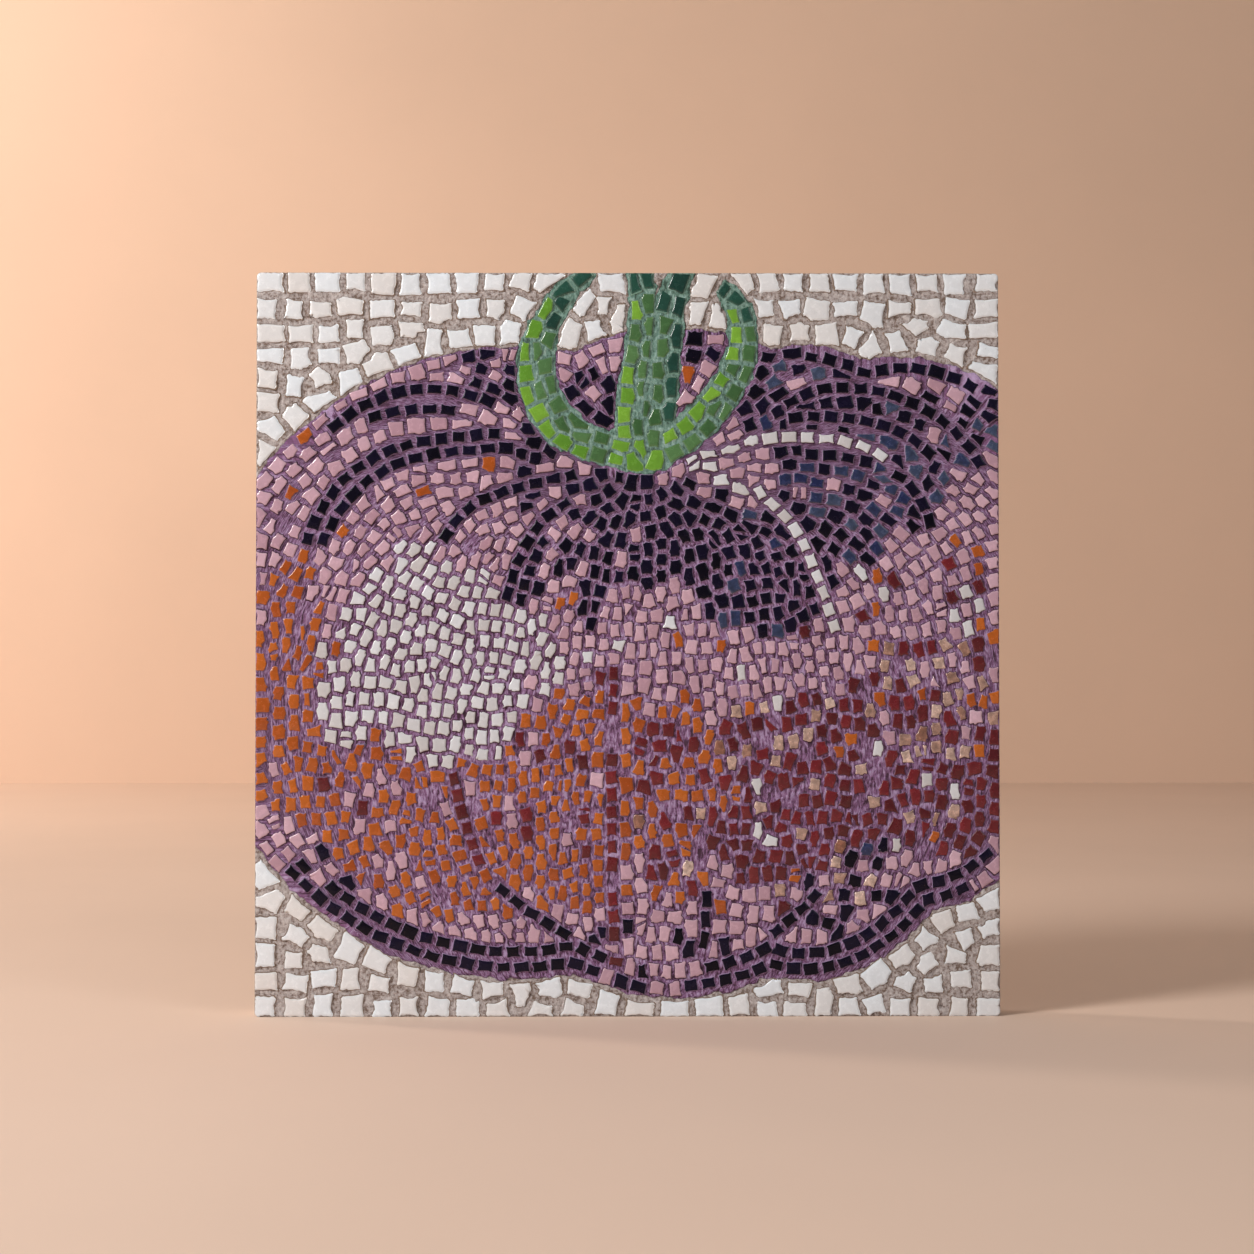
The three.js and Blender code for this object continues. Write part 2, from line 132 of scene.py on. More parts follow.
def noise(tree, place, where, scale, detail, roughness=0.5, distortion=0.0):
    node = add_node(tree, "ShaderNodeTexNoise", place, None, Vector=where)
    feed(tree, node, {"Scale": scale, "Detail": detail, "Roughness": roughness, "Distortion": distortion})
    return node.outputs["Fac"]


def ramp(tree, place, value, stops):
    """A run of colours, as (position, colour) from 0 to 1."""
    node = add_node(tree, "ShaderNodeValToRGB", place, None, Fac=value)
    elements = node.color_ramp.elements
    while len(elements) < len(stops):
        elements.new(0.5)
    for element, (position, colour) in zip(elements, stops):
        element.position = position
        element.color = (*colour, 1)
    return node.outputs["Color"]


def mixed(tree, place, factor, a, b, blend="MIX", kind="RGBA"):
    settings = {"data_type": kind}
    if kind == "RGBA":
        settings["blend_type"] = blend
    return add_node(tree, "ShaderNodeMix", place, settings, Factor=factor, A=a, B=b).outputs["Result"]


def bumped(tree, place, height, strength, distance):
    node = add_node(tree, "ShaderNodeBump", place, None, Height=height, Strength=strength, Distance=distance)
    return node.outputs["Normal"]


def in_steps(points, step):
    """A closed outline, with points added about a step apart."""
    fine = []
    for a, b in zip(points, np.roll(points, -1, 0)):
        count = max(1, round(math.hypot(*(b - a)) / step))
        fine += [a + (b - a) * k / count for k in range(count)]
    return np.array(fine)


def outward(ways):
    """The unit vectors square to the ways along an outline, facing out of it."""
    return np.c_[ways[:, 1], -ways[:, 0]] / np.maximum(np.hypot(*ways.T), 1e-9)[:, None]


def rim_of_panel():
    """The board's outline from the front, round its four corners, in short steps."""
    points = []
    steps = 4
    for side, top, start in ((1, 0, -90), (1, 1, 0), (-1, 1, 90), (-1, 0, 180)):
        cx = side * (panel_half - corner_radius)
        cz = panel_top - corner_radius if top else corner_radius
        for k in range(steps + 1):
            a = math.radians(start + 90 * k / steps)
            points.append((cx + corner_radius * math.cos(a), cz + corner_radius * math.sin(a)))
    return in_steps(np.array(points), edge_step)


def build_board():
    rim = rim_of_panel()
    count = len(rim)
    out = outward(np.roll(rim, -1, 0) - np.roll(rim, 1, 0))
    run = np.cumsum(np.hypot(*(rim - np.roll(rim, 1, 0)).T))
    levels = [0, 0.15, 0.3, 0.45, 0.6, 0.75, 0.9, 0.96, 1]
    vertices = []
    for share in levels:
        y = board_front + (board_back - board_front) * share
        dent = edge_waver * (0.2 + 0.8 * cloud(run, np.full(count, y), 9 * mm, 3))
        dent = dent + edge_waver * 0.5 * cloud(run, np.full(count, y), 3 * mm, 4)
        dent = dent * (rim[:, 1] > mm) + (edge_arris if share == 1 else 0)
        ring = rim - out * dent[:, None]
        vertices += [(x, y, max(z, 0)) for x, z in ring]
    faces = []
    for level in range(len(levels) - 1):
        for k in range(count):
            a, b = level * count + k, level * count + (k + 1) % count
            faces.append((a, a + count, b + count, b))
    faces.append(tuple(range(count)))
    faces.append(tuple(reversed(range(len(vertices) - count, len(vertices)))))
    board = add_piece("board", vertices, faces)
    board.data.polygons.foreach_set("material_index", [0] * (len(faces) - 1) + [1])
    return board


board = build_board()

skim, tree, surface = new_material("skimmed edge")
where = object_place(tree, (-1100, 0))
coarse = noise(tree, (-850, 150), where, 90, 6, 0.65)
grain = noise(tree, (-850, -150), where, 900, 4)
skim_tones = [(0.3, (0.42, 0.37, 0.32)), (0.52, (0.62, 0.58, 0.53)), (0.75, (0.74, 0.71, 0.67))]
tone = ramp(tree, (-600, 150), coarse, skim_tones)
relief = bumped(tree, (-300, -200), grain, 0.5, 0.6 * mm)
feed(tree, surface, {"Base Color": tone, "Normal": relief, "Roughness": 0.88})

sheet, tree, surface = new_material("sealed fibreboard")
where = object_place(tree, (-1300, 0))
stretch = add_node(tree, "ShaderNodeMapping", (-1100, 150), None, Vector=where, Scale=(30, 30, 6))
clouding = noise(tree, (-850, 150), stretch.outputs["Vector"], 1.5, 5, 0.6)
fibre = noise(tree, (-850, -150), where, 600, 5, 0.7)
tone = ramp(tree, (-600, 150), clouding, [(0.3, (0.24, 0.16, 0.09)), (0.7, (0.34, 0.24, 0.15))])
speck = ramp(tree, (-600, -150), fibre, [(0.35, (0.72, 0.7, 0.66)), (0.62, (1, 1, 1))])
both = mixed(tree, (-300, 100), 1.0, tone, speck, "MULTIPLY")
relief = bumped(tree, (-300, -250), fibre, 0.25, 0.3 * mm)
feed(tree, surface, {"Base Color": both, "Normal": relief, "Roughness": 0.62})

board.data.materials.append(skim)
board.data.materials.append(sheet)
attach(board, "root")
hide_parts("backing_board")


# SETTING OUT
# The setter works to a drawing: the outline of each field of grout, and the rows of tiles laid first.
# Both are read here from the fixed solids, so that everything laid on them stays in their place.

nearly = 0.03 * mm
corner_ticks = 2e5
smallest_tile = 10 * mm * mm


def faces_at_level(name, level, facing):
    """The flat faces of a fixed solid at one depth, as triangles of (x, z) points with shared corners."""
    mesh = nodes[name].data
    mesh.calc_loop_triangles()
    number = {}
    points = []
    triangles = []
    for triangle in mesh.loop_triangles:
        if triangle.normal.y * facing < 0.9:
            continue
        corners = [mesh.vertices[v].co for v in triangle.vertices]
        if any(abs(c.y - level) > nearly for c in corners):
            continue
        keys = []
        for c in corners:
            key = (round(c.x * corner_ticks), round(c.z * corner_ticks))
            if key not in number:
                number[key] = len(points)
                points.append((c.x, c.z))
            keys.append(number[key])
        if len(set(keys)) == 3:
            triangles.append(keys)
    return points, triangles


def outlines_of(points, triangles):
    """The closed outlines round some triangles, the way round that keeps them on the left."""
    count = {}
    for t in triangles:
        for a, b in ((t[0], t[1]), (t[1], t[2]), (t[2], t[0])):
            count[(a, b)] = count.get((a, b), 0) + 1
    following = {}
    for a, b in count:
        if (b, a) not in count:
            following.setdefault(a, []).append(b)
    loops = []
    while following:
        start = next(iter(following))
        loop = [start]
        while True:
            choices = following[loop[-1]]
            step = choices.pop()
            if not choices:
                del following[loop[-1]]
            if step == start:
                break
            if step in loop:
                bend = loop.index(step)
                loops.append([points[k] for k in loop[bend:]])
                del loop[bend:]
            loop.append(step)
        loops.append([points[k] for k in loop])
    return loops


def area_of(loop):
    p = np.array(loop)
    q = np.roll(p, -1, 0)
    return float((p[:, 0] * q[:, 1] - q[:, 0] * p[:, 1]).sum() / 2)


def anticlockwise(loop):
    return loop if area_of(loop) > 0 else loop[::-1]


def field_outlines(names):
    found = []
    for name in names:
        loops = outlines_of(*faces_at_level(name, board_front, 1))
        found.append(anticlockwise(max(loops, key=lambda p: abs(area_of(p)))))
    return found


def parted(loop):
    """The tiles in an outline: where two tiles touch at a corner, they are taken apart there."""
    points = np.array(loop)
    ahead = np.roll(points, -1, 0) - points
    behind = np.roll(ahead, 1, 0)
    inner = np.flatnonzero(behind[:, 0] * ahead[:, 1] - behind[:, 1] * ahead[:, 0] < 0)
    narrowest = None
    for n, a in enumerate(inner):
        for b in inner[n + 1 :]:
            if 2 <= b - a <= len(loop) - 2:
                gap = math.hypot(*(points[a] - points[b]))
                if narrowest is None or gap < narrowest[0]:
                    narrowest = (gap, a, b)
    if narrowest is None:
        return [loop] if abs(area_of(loop)) > smallest_tile else []
    _, a, b = narrowest
    return parted(loop[a : b + 1]) + parted(loop[b:] + loop[: a + 1])


def laid_tiles(names):
    found = []
    for name in names:
        for loop in outlines_of(*faces_at_level(name, tile_face, -1)):
            found += parted(anticlockwise(loop))
    return found


ground_names = [n for n in nodes if n.startswith("ground")]
fruit_names = [n for n in nodes if n.startswith("fruit")]
ground_edges = field_outlines(ground_names)
fruit_edges = field_outlines(fruit_names)
calyx_edges = field_outlines(["calyx"])
ground_laid = laid_tiles(ground_names)
fruit_laid = laid_tiles(fruit_names)
calyx_laid = laid_tiles(["calyx"])

# A fine grid over the drawing, on which each tile finds its room.
cell = 0.8 * mm
wide = round(panel_width / cell)
tall = round(panel_top / cell)
grid_x = (np.arange(wide) + 0.5) * cell - panel_half
grid_z = (np.arange(tall) + 0.5) * cell


def shaded(loops, step):
    """Which cells of a grid with the given step have their middle inside the closed outlines."""
    columns, rows = round(panel_width / step), round(panel_top / step)
    flips = np.zeros((rows, columns + 1), int)
    for loop in loops:
        for (x0, z0), (x1, z1) in zip(loop, loop[1:] + loop[:1]):
            if z0 == z1:
                continue
            lowest = max(0, math.ceil(min(z0, z1) / step - 0.5))
            highest = min(rows, math.ceil(max(z0, z1) / step - 0.5))
            row = np.arange(lowest, highest)
            x = x0 + (x1 - x0) * ((row + 0.5) * step - z0) / (z1 - z0)
            column = np.clip(np.ceil((x + panel_half) / step - 0.5), 0, columns).astype(int)
            np.add.at(flips, (row, column), 1)
    return np.cumsum(flips, 1)[:, :columns] % 2 == 1


def distance_to(shade, reach, step):
    """How far each cell is from the nearest shaded one, up to the reach."""
    most = int(reach / step)
    square = np.where(shade, 0.0, (most + 1.0) ** 2)
    for axis in (0, 1):
        lines = np.moveaxis(square, axis, 0)
        nearest = lines.copy()
        for k in range(1, most + 1):
            np.minimum(nearest[k:], lines[:-k] + k * k, out=nearest[k:])
            np.minimum(nearest[:-k], lines[k:] + k * k, out=nearest[:-k])
        square = np.moveaxis(nearest, 0, axis)
    return np.sqrt(np.minimum(square, (most + 1.0) ** 2)) * step


def sample(grid, x, z, step):
    """The values of a grid at some points, run smoothly from cell to cell."""
    rows, columns = grid.shape
    u = np.clip((np.asarray(x) + panel_half) / step - 0.5, 0, columns - 1.001)
    v = np.clip(np.asarray(z) / step - 0.5, 0, rows - 1.001)
    i, j = u.astype(int), v.astype(int)
    s, t = u - i, v - j
    low = grid[j, i] * (1 - s) + grid[j, i + 1] * s
    high = grid[j + 1, i] * (1 - s) + grid[j + 1, i + 1] * s
    return low * (1 - t) + high * t


def neighbours(padded):
    """The sum of each cell's four neighbours, in a grid padded by one cell."""
    return padded[:-2, 1:-1] + padded[2:, 1:-1] + padded[1:-1, :-2] + padded[1:-1, 2:]


def softened(grid, rounds):
    for _ in range(rounds):
        grid = (neighbours(np.pad(grid, 1, mode="edge")) + 4 * grid) / 8
    return grid


def trimmed(points, px, pz, fx, fz):
    """What of a convex outline lies behind a line through a point, facing the given way."""
    kept = []
    last = points[-1]
    there = (last[0] - px) * fx + (last[1] - pz) * fz
    for point in points:
        here = (point[0] - px) * fx + (point[1] - pz) * fz
        if (here <= 0) != (there <= 0):
            share = there / (there - here)
            x, z = last[0] + (point[0] - last[0]) * share, last[1] + (point[1] - last[1]) * share
            kept.append((x, z))
        if here <= 0:
            kept.append(point)
        last, there = point, here
    return kept


def nipped(loop, dice, bite, runs=2, corner=0.5 * mm):
    """A convex outline as the nippers leave it: corners snapped off, and edges in short uneven runs."""
    points = np.array(loop)
    outline = []
    bite = min(bite, 0.13 * math.sqrt(abs(area_of(loop))))
    least_edge, whole_edge, long_edge = 0.3 * mm, 1.6 * mm, 4 * mm
    for a, b in zip(points, np.roll(points, -1, 0)):
        edge = b - a
        length = math.hypot(*edge)
        if length < least_edge:
            continue
        way = edge / length
        inward = np.array((-way[1], way[0]))
        start = min(corner * dice.uniform(0.4, 1.5), 0.3 * length)
        finish = length - min(corner * dice.uniform(0.4, 1.5), 0.3 * length)
        deepest = bite * dice.random() ** 2
        outline.append(a + way * start + inward * deepest * 0.2)
        count = runs if length > long_edge else 1
        for k in range(count if length > whole_edge else 0):
            share = (k + dice.uniform(0.25, 0.75)) / count
            depth = deepest * 4 * share * (1 - share) + 0.4 * bite * dice.uniform(-0.35, 1)
            outline.append(a + way * (start + (finish - start) * share) + inward * depth)
        outline.append(a + way * finish + inward * deepest * 0.2)
    return [tuple(p) for p in outline]


# PALE GROUND
# White glazed tile, broken by hand with nippers and laid in uneven rows round the picture.
# The joints are filled with a sandy buff grout, wiped low, so the tiles stand well proud of it.

tile_thickness = tile_seat - tile_face
collar_width = 1.1 * mm
collar_height = 1.4 * mm
dice = np.random.default_rng(41)


def add_sockets(tree, side, **kinds):
    for kind, names in kinds.items():
        for name in names:
            tree.interface.new_socket(name, in_out=side, socket_type="NodeSocket" + kind)


def maths(tree, place, operation, *values):
    return add_node(tree, "ShaderNodeMath", place, {"operation": operation}, *values).outputs[0]


def tile_builder():
    """Turns flat outlines into tiles: a collar of bedding that squeezed up, its sides marked for the glaze's
    collar colour, which is painted shade round most tiles and a painted lit edge round some; sides, an eased
    arris, a low crown, and a hand-set tilt."""
    tree = bpy.data.node_groups.new("tile builder", "GeometryNodeTree")
    lengths = ("Collar Width", "Collar Height", "Thickness", "Arris", "Crown", "Tilt", "Proud")
    add_sockets(tree, "OUTPUT", Geometry=["Tiles"])
    add_sockets(tree, "INPUT", Geometry=["Outlines"], Float=lengths, Int=["Seed"], Material=["Glaze"])
    given = add_node(tree, "NodeGroupInput", (-2600, 0)).outputs

    def marked(place, name, kind):
        node = add_node(tree, "GeometryNodeInputNamedAttribute", place, {"data_type": kind}, Name=name)
        return node.outputs["Attribute"]

    def raised(place, mesh, height, faces=None):
        node = add_node(tree, "GeometryNodeExtrudeMesh", place, None, Mesh=mesh, Selection=faces)
        feed(tree, node, {"Offset Scale": height, "Individual": True})
        return node.outputs

    def scaled(place, mesh, size, faces=None):
        node = add_node(tree, "GeometryNodeScaleElements", place, None, Geometry=mesh, Selection=faces)
        feed(tree, node, {"Scale": size})
        return node.outputs["Geometry"]

    def mark(place, mesh, name, faces):
        settings = {"data_type": "FLOAT", "domain": "FACE"}
        node = add_node(tree, "GeometryNodeStoreNamedAttribute", place, settings, Geometry=mesh, Name=name)
        feed(tree, node, {"Selection": faces, "Value": 1.0})
        return node.outputs["Geometry"]

    # The collar flares out from the tile to the board; the arris and the crown draw in towards the top.
    half = marked((-2400, -350), "half", "FLOAT")
    wider = maths(tree, (-2200, -350), "DIVIDE", given["Collar Width"], half)
    flare = maths(tree, (-2050, -350), "ADD", wider, 1)
    unflare = maths(tree, (-1900, -350), "DIVIDE", 1, flare)
    share = maths(tree, (-1000, -350), "DIVIDE", given["Arris"], half)
    keep = maths(tree, (-850, -350), "SUBTRACT", 1, share)
    foot = scaled((-2100, 0), given["Outlines"], flare)
    collar = raised((-1900, 0), foot, given["Collar Height"])
    drawn_in = scaled((-1700, 0), collar["Mesh"], unflare, collar["Top"])
    # The collar's sides are marked so that the glaze paints them in its collar colour: a painted shadow gap
    # round most tiles, a painted lit grout edge round some.
    bedding_light_and_shade = mark((-1500, 0), drawn_in, "bedding_light_and_shade", collar["Side"])
    body = raised((-1200, 0), bedding_light_and_shade, given["Thickness"], collar["Top"])
    eased = raised((-900, 0), body["Mesh"], given["Arris"], body["Top"])
    narrowed = scaled((-650, 0), eased["Mesh"], keep, eased["Top"])
    crowned = raised((-400, 0), narrowed, given["Crown"], eased["Top"])
    topped = scaled((-150, 0), crowned["Mesh"], 0.8, crowned["Top"])
    worn = mark((50, 0), topped, "rim", eased["Side"])
    not_sides = add_node(tree, "FunctionNodeBooleanMath", (50, -300), {"operation": "NOT"}, body["Side"])
    smooth = add_node(tree, "GeometryNodeSetShadeSmooth", (250, 0), None, Geometry=worn)
    feed(tree, smooth, {"Selection": not_sides.outputs[0]})
    back = add_node(tree, "GeometryNodeFlipFaces", (-1200, 300), None, Mesh=foot)
    joined = add_node(tree, "GeometryNodeJoinGeometry", (450, 100), None, smooth.outputs["Geometry"])
    tree.links.new(back.outputs["Mesh"], joined.inputs["Geometry"])
    welded = add_node(tree, "GeometryNodeMergeByDistance", (650, 100), None, Distance=0.002 * mm)
    feed(tree, welded, {"Geometry": joined.outputs["Geometry"]})

    # Each tile was pressed in by hand, so it leans a little and stands at its own height.
    number = marked((300, -500), "number", "INT")
    middle = marked((300, -650), "middle", "FLOAT_VECTOR")
    place = add_node(tree, "GeometryNodeInputPosition", (300, -800)).outputs["Position"]
    least_tilt = maths(tree, (300, -350), "MULTIPLY", given["Tilt"], -1)
    lean = add_node(
        tree, "FunctionNodeRandomValue", (550, -350), {"data_type": "FLOAT_VECTOR"},
        Min=least_tilt, Max=given["Tilt"], ID=number, Seed=given["Seed"],
    )
    other_seed = maths(tree, (550, -600), "ADD", given["Seed"], 17)
    sunk = maths(tree, (550, -750), "MULTIPLY", given["Proud"], -1)
    level = add_node(
        tree, "FunctionNodeRandomValue", (750, -600), {"data_type": "FLOAT"},
        Min=sunk, Max=given["Proud"], ID=number, Seed=other_seed,
    )
    kind = "ShaderNodeVectorMath"
    away = add_node(tree, kind, (550, -900), {"operation": "SUBTRACT"}, place, middle).outputs[0]
    rise = add_node(tree, kind, (950, -400), {"operation": "DOT_PRODUCT"}, away, lean.outputs["Value"])
    total = maths(tree, (1100, -450), "ADD", rise.outputs["Value"], level.outputs["Value"])
    deep = add_node(tree, "ShaderNodeSeparateXYZ", (750, -800), None, place).outputs["Y"]
    settings = {"data_type": "FLOAT", "operation": "LESS_THAN"}
    in_front = add_node(tree, "FunctionNodeCompare", (950, -800), settings, A=deep, B=tile_seat - 0.1 * mm)
    offset = add_node(tree, "ShaderNodeCombineXYZ", (1250, -450), None, Y=total)
    moved = add_node(tree, "GeometryNodeSetPosition", (1300, 100), None, Geometry=welded.outputs["Geometry"])
    feed(tree, moved, {"Selection": in_front.outputs["Result"], "Offset": offset.outputs["Vector"]})
    real = add_node(tree, "GeometryNodeRealizeInstances", (1450, 100), None, moved.outputs["Geometry"])
    glazed = add_node(tree, "GeometryNodeSetMaterial", (1600, 100), None, Geometry=real.outputs["Geometry"])
    feed(tree, glazed, {"Material": given["Glaze"]})
    add_node(tree, "NodeGroupOutput", (1800, 0), None, glazed.outputs["Geometry"])
    return tree


tile_tree = tile_builder()


def kept_on_panel(points):
    """Holds the tiles' points within the panel's edges and rounded corners."""
    points = np.clip(points, (-panel_half, -1, 0), (panel_half, 1, panel_top))
    x, z = points[:, 0], points[:, 2]
    past_x = np.sign(x) * np.maximum(np.abs(x) - panel_half + corner_radius, 0)
    above, below = np.maximum(z - panel_top + corner_radius, 0), np.minimum(z - corner_radius, 0)
    past_z = np.where(z > panel_top / 2, above, below)
    past = np.hypot(past_x, past_z)
    outside = (past_x != 0) & (past_z != 0) & (past > corner_radius)
    pull = np.where(outside, 1 - corner_radius / np.maximum(past, 1e-9), 0)
    points[:, 0] -= past_x * pull
    points[:, 2] -= past_z * pull
    return points


def set_tiles(name, outlines, glaze, seed, arris, crown, tilt=0.05, proud=0.18 * mm):
    """Cuts tiles to the given outlines and sets them in place, all of one glaze."""
    corners = []
    faces = []
    middles = []
    halves = []
    for outline in outlines:
        faces.append(tuple(range(len(corners), len(corners) + len(outline))))
        corners += [(x, tile_seat, z) for x, z in outline]
        x, z = np.mean(outline, 0)
        middles += [x, tile_seat, z]
        halves.append(math.sqrt(abs(area_of(outline))) / 2)
    cut = add_piece(name + "_outlines", corners, faces)
    tints = np.random.default_rng(seed).random(len(faces))
    marks = [("number", "INT", list(range(len(faces)))), ("tint", "FLOAT", tints), ("half", "FLOAT", halves)]
    for mark, kind, values in marks:
        cut.data.attributes.new(mark, kind, "FACE").data.foreach_set("value", values)
    cut.data.attributes.new("middle", "FLOAT_VECTOR", "FACE").data.foreach_set("vector", middles)
    modifier = cut.modifiers.new("tile builder", "NODES")
    modifier.node_group = tile_tree
    wanted = {
        "Collar Width": collar_width,
        "Collar Height": collar_height,
        "Thickness": tile_thickness - collar_height - arris - crown,
        "Arris": arris,
        "Crown": crown,
        "Tilt": tilt,
        "Proud": proud,
        "Seed": seed,
        "Glaze": glaze,
    }
    for socket in tile_tree.interface.items_tree:
        if socket.in_out == "INPUT" and socket.name in wanted:
            modifier[socket.identifier] = wanted[socket.name]
    ready = cut.evaluated_get(bpy.context.evaluated_depsgraph_get())
    mesh = bpy.data.meshes.new_from_object(ready)
    mesh.name = name
    points = np.zeros(3 * len(mesh.vertices))
    mesh.vertices.foreach_get("co", points)
    mesh.vertices.foreach_set("co", kept_on_panel(points.reshape(-1, 3)).ravel())
    piece = placed(name, mesh)
    bpy.data.objects.remove(cut)
    return piece


def ranged(tree, place, value, low, high, to_low=0.0, to_high=1.0):
    node = add_node(tree, "ShaderNodeMapRange", place, None, Value=value, From_Min=low, From_Max=high)
    feed(tree, node, {"To Min": to_low, "To Max": to_high})
    return node.outputs["Result"]


def glaze_group():
    """A fired glaze: tile to tile difference, soft mottle, pinholes, a paler, worn arris, and the collar in
    its own colour of painted shade or painted lit edge.
    """
    tree = bpy.data.node_groups.new("glaze", "ShaderNodeTree")
    add_sockets(tree, "INPUT", Color=("Dark", "Light", "Worn", "Bedding Light And Shade"))
    add_sockets(tree, "INPUT", Float=("Mottle", "Wear", "Ripple"))
    add_sockets(tree, "OUTPUT", Color=["Color"], Float=["Roughness"], Vector=["Normal"])
    given = add_node(tree, "NodeGroupInput", (-1500, 0)).outputs
    where = object_place(tree, (-1500, -300))
    marks = {}
    for name, place in (("tint", (-1500, 300)), ("rim", (-1500, -600)), ("bedding_light_and_shade", (100, 400))):
        marks[name] = add_node(tree, "ShaderNodeAttribute", place, {"attribute_name": name}).outputs["Fac"]
    soft = noise(tree, (-1250, 0), where, 260, 3, 0.6)
    fine = noise(tree, (-1250, -250), where, 1500, 4, 0.7)
    base = mixed(tree, (-1000, 300), marks["tint"], given["Dark"], given["Light"])
    sway = ranged(tree, (-1000, 0), soft, 0.3, 0.7, -0.5, 0.5)
    amount = maths(tree, (-800, 0), "MULTIPLY", sway, given["Mottle"])
    bright = maths(tree, (-600, 0), "ADD", amount, 1)
    shade = add_node(tree, "ShaderNodeVectorMath", (-400, 200), {"operation": "SCALE"}, base, Scale=bright)
    pin = ramp(tree, (-1000, -250), fine, [(0.26, (0.55, 0.52, 0.5)), (0.34, (1, 1, 1))])
    pinned = mixed(tree, (-200, 200), 1.0, shade.outputs["Vector"], pin, "MULTIPLY")
    chip = ranged(tree, (-800, -450), fine, 0.44, 0.6)
    at_rim = maths(tree, (-600, -450), "MULTIPLY", chip, marks["rim"])
    wear = maths(tree, (-400, -450), "MULTIPLY", at_rim, given["Wear"])
    shown = mixed(tree, (100, 100), wear, pinned, given["Worn"])
    # On the collar the colour is the glaze's painted shade (or painted lit edge) at the foot of the tile.
    colour = mixed(tree, (400, 200), marks["bedding_light_and_shade"], shown, given["Bedding Light And Shade"])
    dull = ranged(tree, (100, -250), soft, 0.0, 1.0, 0.16, 0.36)
    duller = maths(tree, (350, -250), "MAXIMUM", dull, wear)
    chalky = maths(tree, (600, -250), "MAXIMUM", duller, marks["bedding_light_and_shade"])
    height = maths(tree, (100, -500), "MULTIPLY", soft, given["Ripple"])
    relief = bumped(tree, (350, -500), height, 0.6, 0.4 * mm)
    add_node(tree, "NodeGroupOutput", (1300, 0), None, Color=colour, Roughness=chalky, Normal=relief)
    return tree


glaze_nodes = glaze_group()


def glaze(name, dark, light, worn, bedding_light_and_shade, mottle, wear, ripple, coat=0.0, metallic=0.0, ior=1.5):
    material, tree, surface = new_material(name)
    group = add_node(tree, "ShaderNodeGroup", (-400, 0), {"node_tree": glaze_nodes})
    for key, colour in (("Dark", dark), ("Light", light), ("Worn", worn), ("Bedding Light And Shade", bedding_light_and_shade)):
        group.inputs[key].default_value = (*colour, 1)
    feed(tree, group, {"Mottle": mottle, "Wear": wear, "Ripple": ripple})
    feed(tree, surface, {"Base Color": group.outputs["Color"], "Roughness": group.outputs["Roughness"]})
    feed(tree, surface, {"Normal": group.outputs["Normal"], "Metallic": metallic, "IOR": ior})
    feed(tree, surface, {"Coat Weight": coat, "Coat Roughness": 0.12})
    return material


def shrunk(loop, dice, least, turned=4, most=1.0):
    """A tile a little smaller than its room and turned a little in it, still flush with the panel's edge."""
    points = np.array(loop)
    middle = points.mean(0)
    turn = math.radians(dice.uniform(-turned, turned))
    low, high = points.min(0), points.max(0)
    near_edge = 0.3 * mm
    for axis, (first, last) in enumerate(((-panel_half, panel_half), (0, panel_top))):
        if low[axis] < first + near_edge or high[axis] > last - near_edge:
            middle[axis] = first if low[axis] < first + near_edge else last
            turn = 0
    spin = np.array(((math.cos(turn), math.sin(turn)), (-math.sin(turn), math.cos(turn))))
    grow = dice.uniform(least, most, 2)
    return [tuple(p) for p in middle + ((points - middle) * grow) @ spin]


def flush(outline):
    return [(min(max(x, -panel_half), panel_half), min(max(z, 0.0), panel_top)) for x, z in outline]


ground_cut = []
for loop in ground_laid:
    tile = shrunk(loop, dice, least=0.82, turned=10, most=1.1)
    ground_cut.append(flush(nipped(tile, dice, bite=1.3 * mm, runs=6, corner=0.8 * mm)))

# The fourth colour is the collar round each white tile: a dark brown painted shadow at the tile's foot.
white_glaze = glaze(
    "white glaze", (0.77, 0.765, 0.77), (0.81, 0.88, 0.95), (0.66, 0.62, 0.58), (0.25, 0.185, 0.145),
    mottle=0.09, wear=0.5, ripple=0.6, coat=0.4,
)
ground_tiles = set_tiles(
    "ground_tiles", ground_cut, white_glaze, seed=5,
    arris=0.35 * mm, crown=0.1 * mm, tilt=0.03, proud=0.15 * mm,
)
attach(ground_tiles, "root")

fine_step = 0.5 * mm
grout_seam = 0.3 * mm
edge_wander = 2.6 * mm


def rough_hills(x, z, grain, fine_grain, share, seed):
    """Rises and hollows about zero, with a share of finer ones on them."""
    return cloud(x, z, grain, seed) - 0.5 + share * (cloud(x, z, fine_grain, seed + 1) - 0.5)


def grout_outline(loop, step):
    """A field's outline in short steps, brought up to its neighbour and wandering as wiped grout does."""
    points = np.array(loop)
    ahead = np.roll(points, -1, 0) - points
    behind = points - np.roll(points, 1, 0)
    out = outward(ahead) + outward(behind)
    out /= np.maximum(np.hypot(*out.T), 0.2)[:, None]
    x, z = in_steps(points + out * grout_seam * 0.42, step).T
    to_edge = np.minimum(np.minimum(panel_half - np.abs(x), z), panel_top - z)
    held = 0.6 * mm
    free = np.clip((to_edge - held) / (4 * mm), 0, 1)
    sways = []
    for seed in (61, 63):
        sways.append(rough_hills(x, z, 5 * mm, 2 * mm, 0.5, seed) * edge_wander * free)
    moved = np.c_[np.clip(x + sways[0], -panel_half, panel_half), np.clip(z + sways[1], 0, panel_top)]
    still = np.c_[np.clip(x, -panel_half, panel_half), np.clip(z, 0, panel_top)]
    moved[to_edge < held] = still[to_edge < held]
    return moved


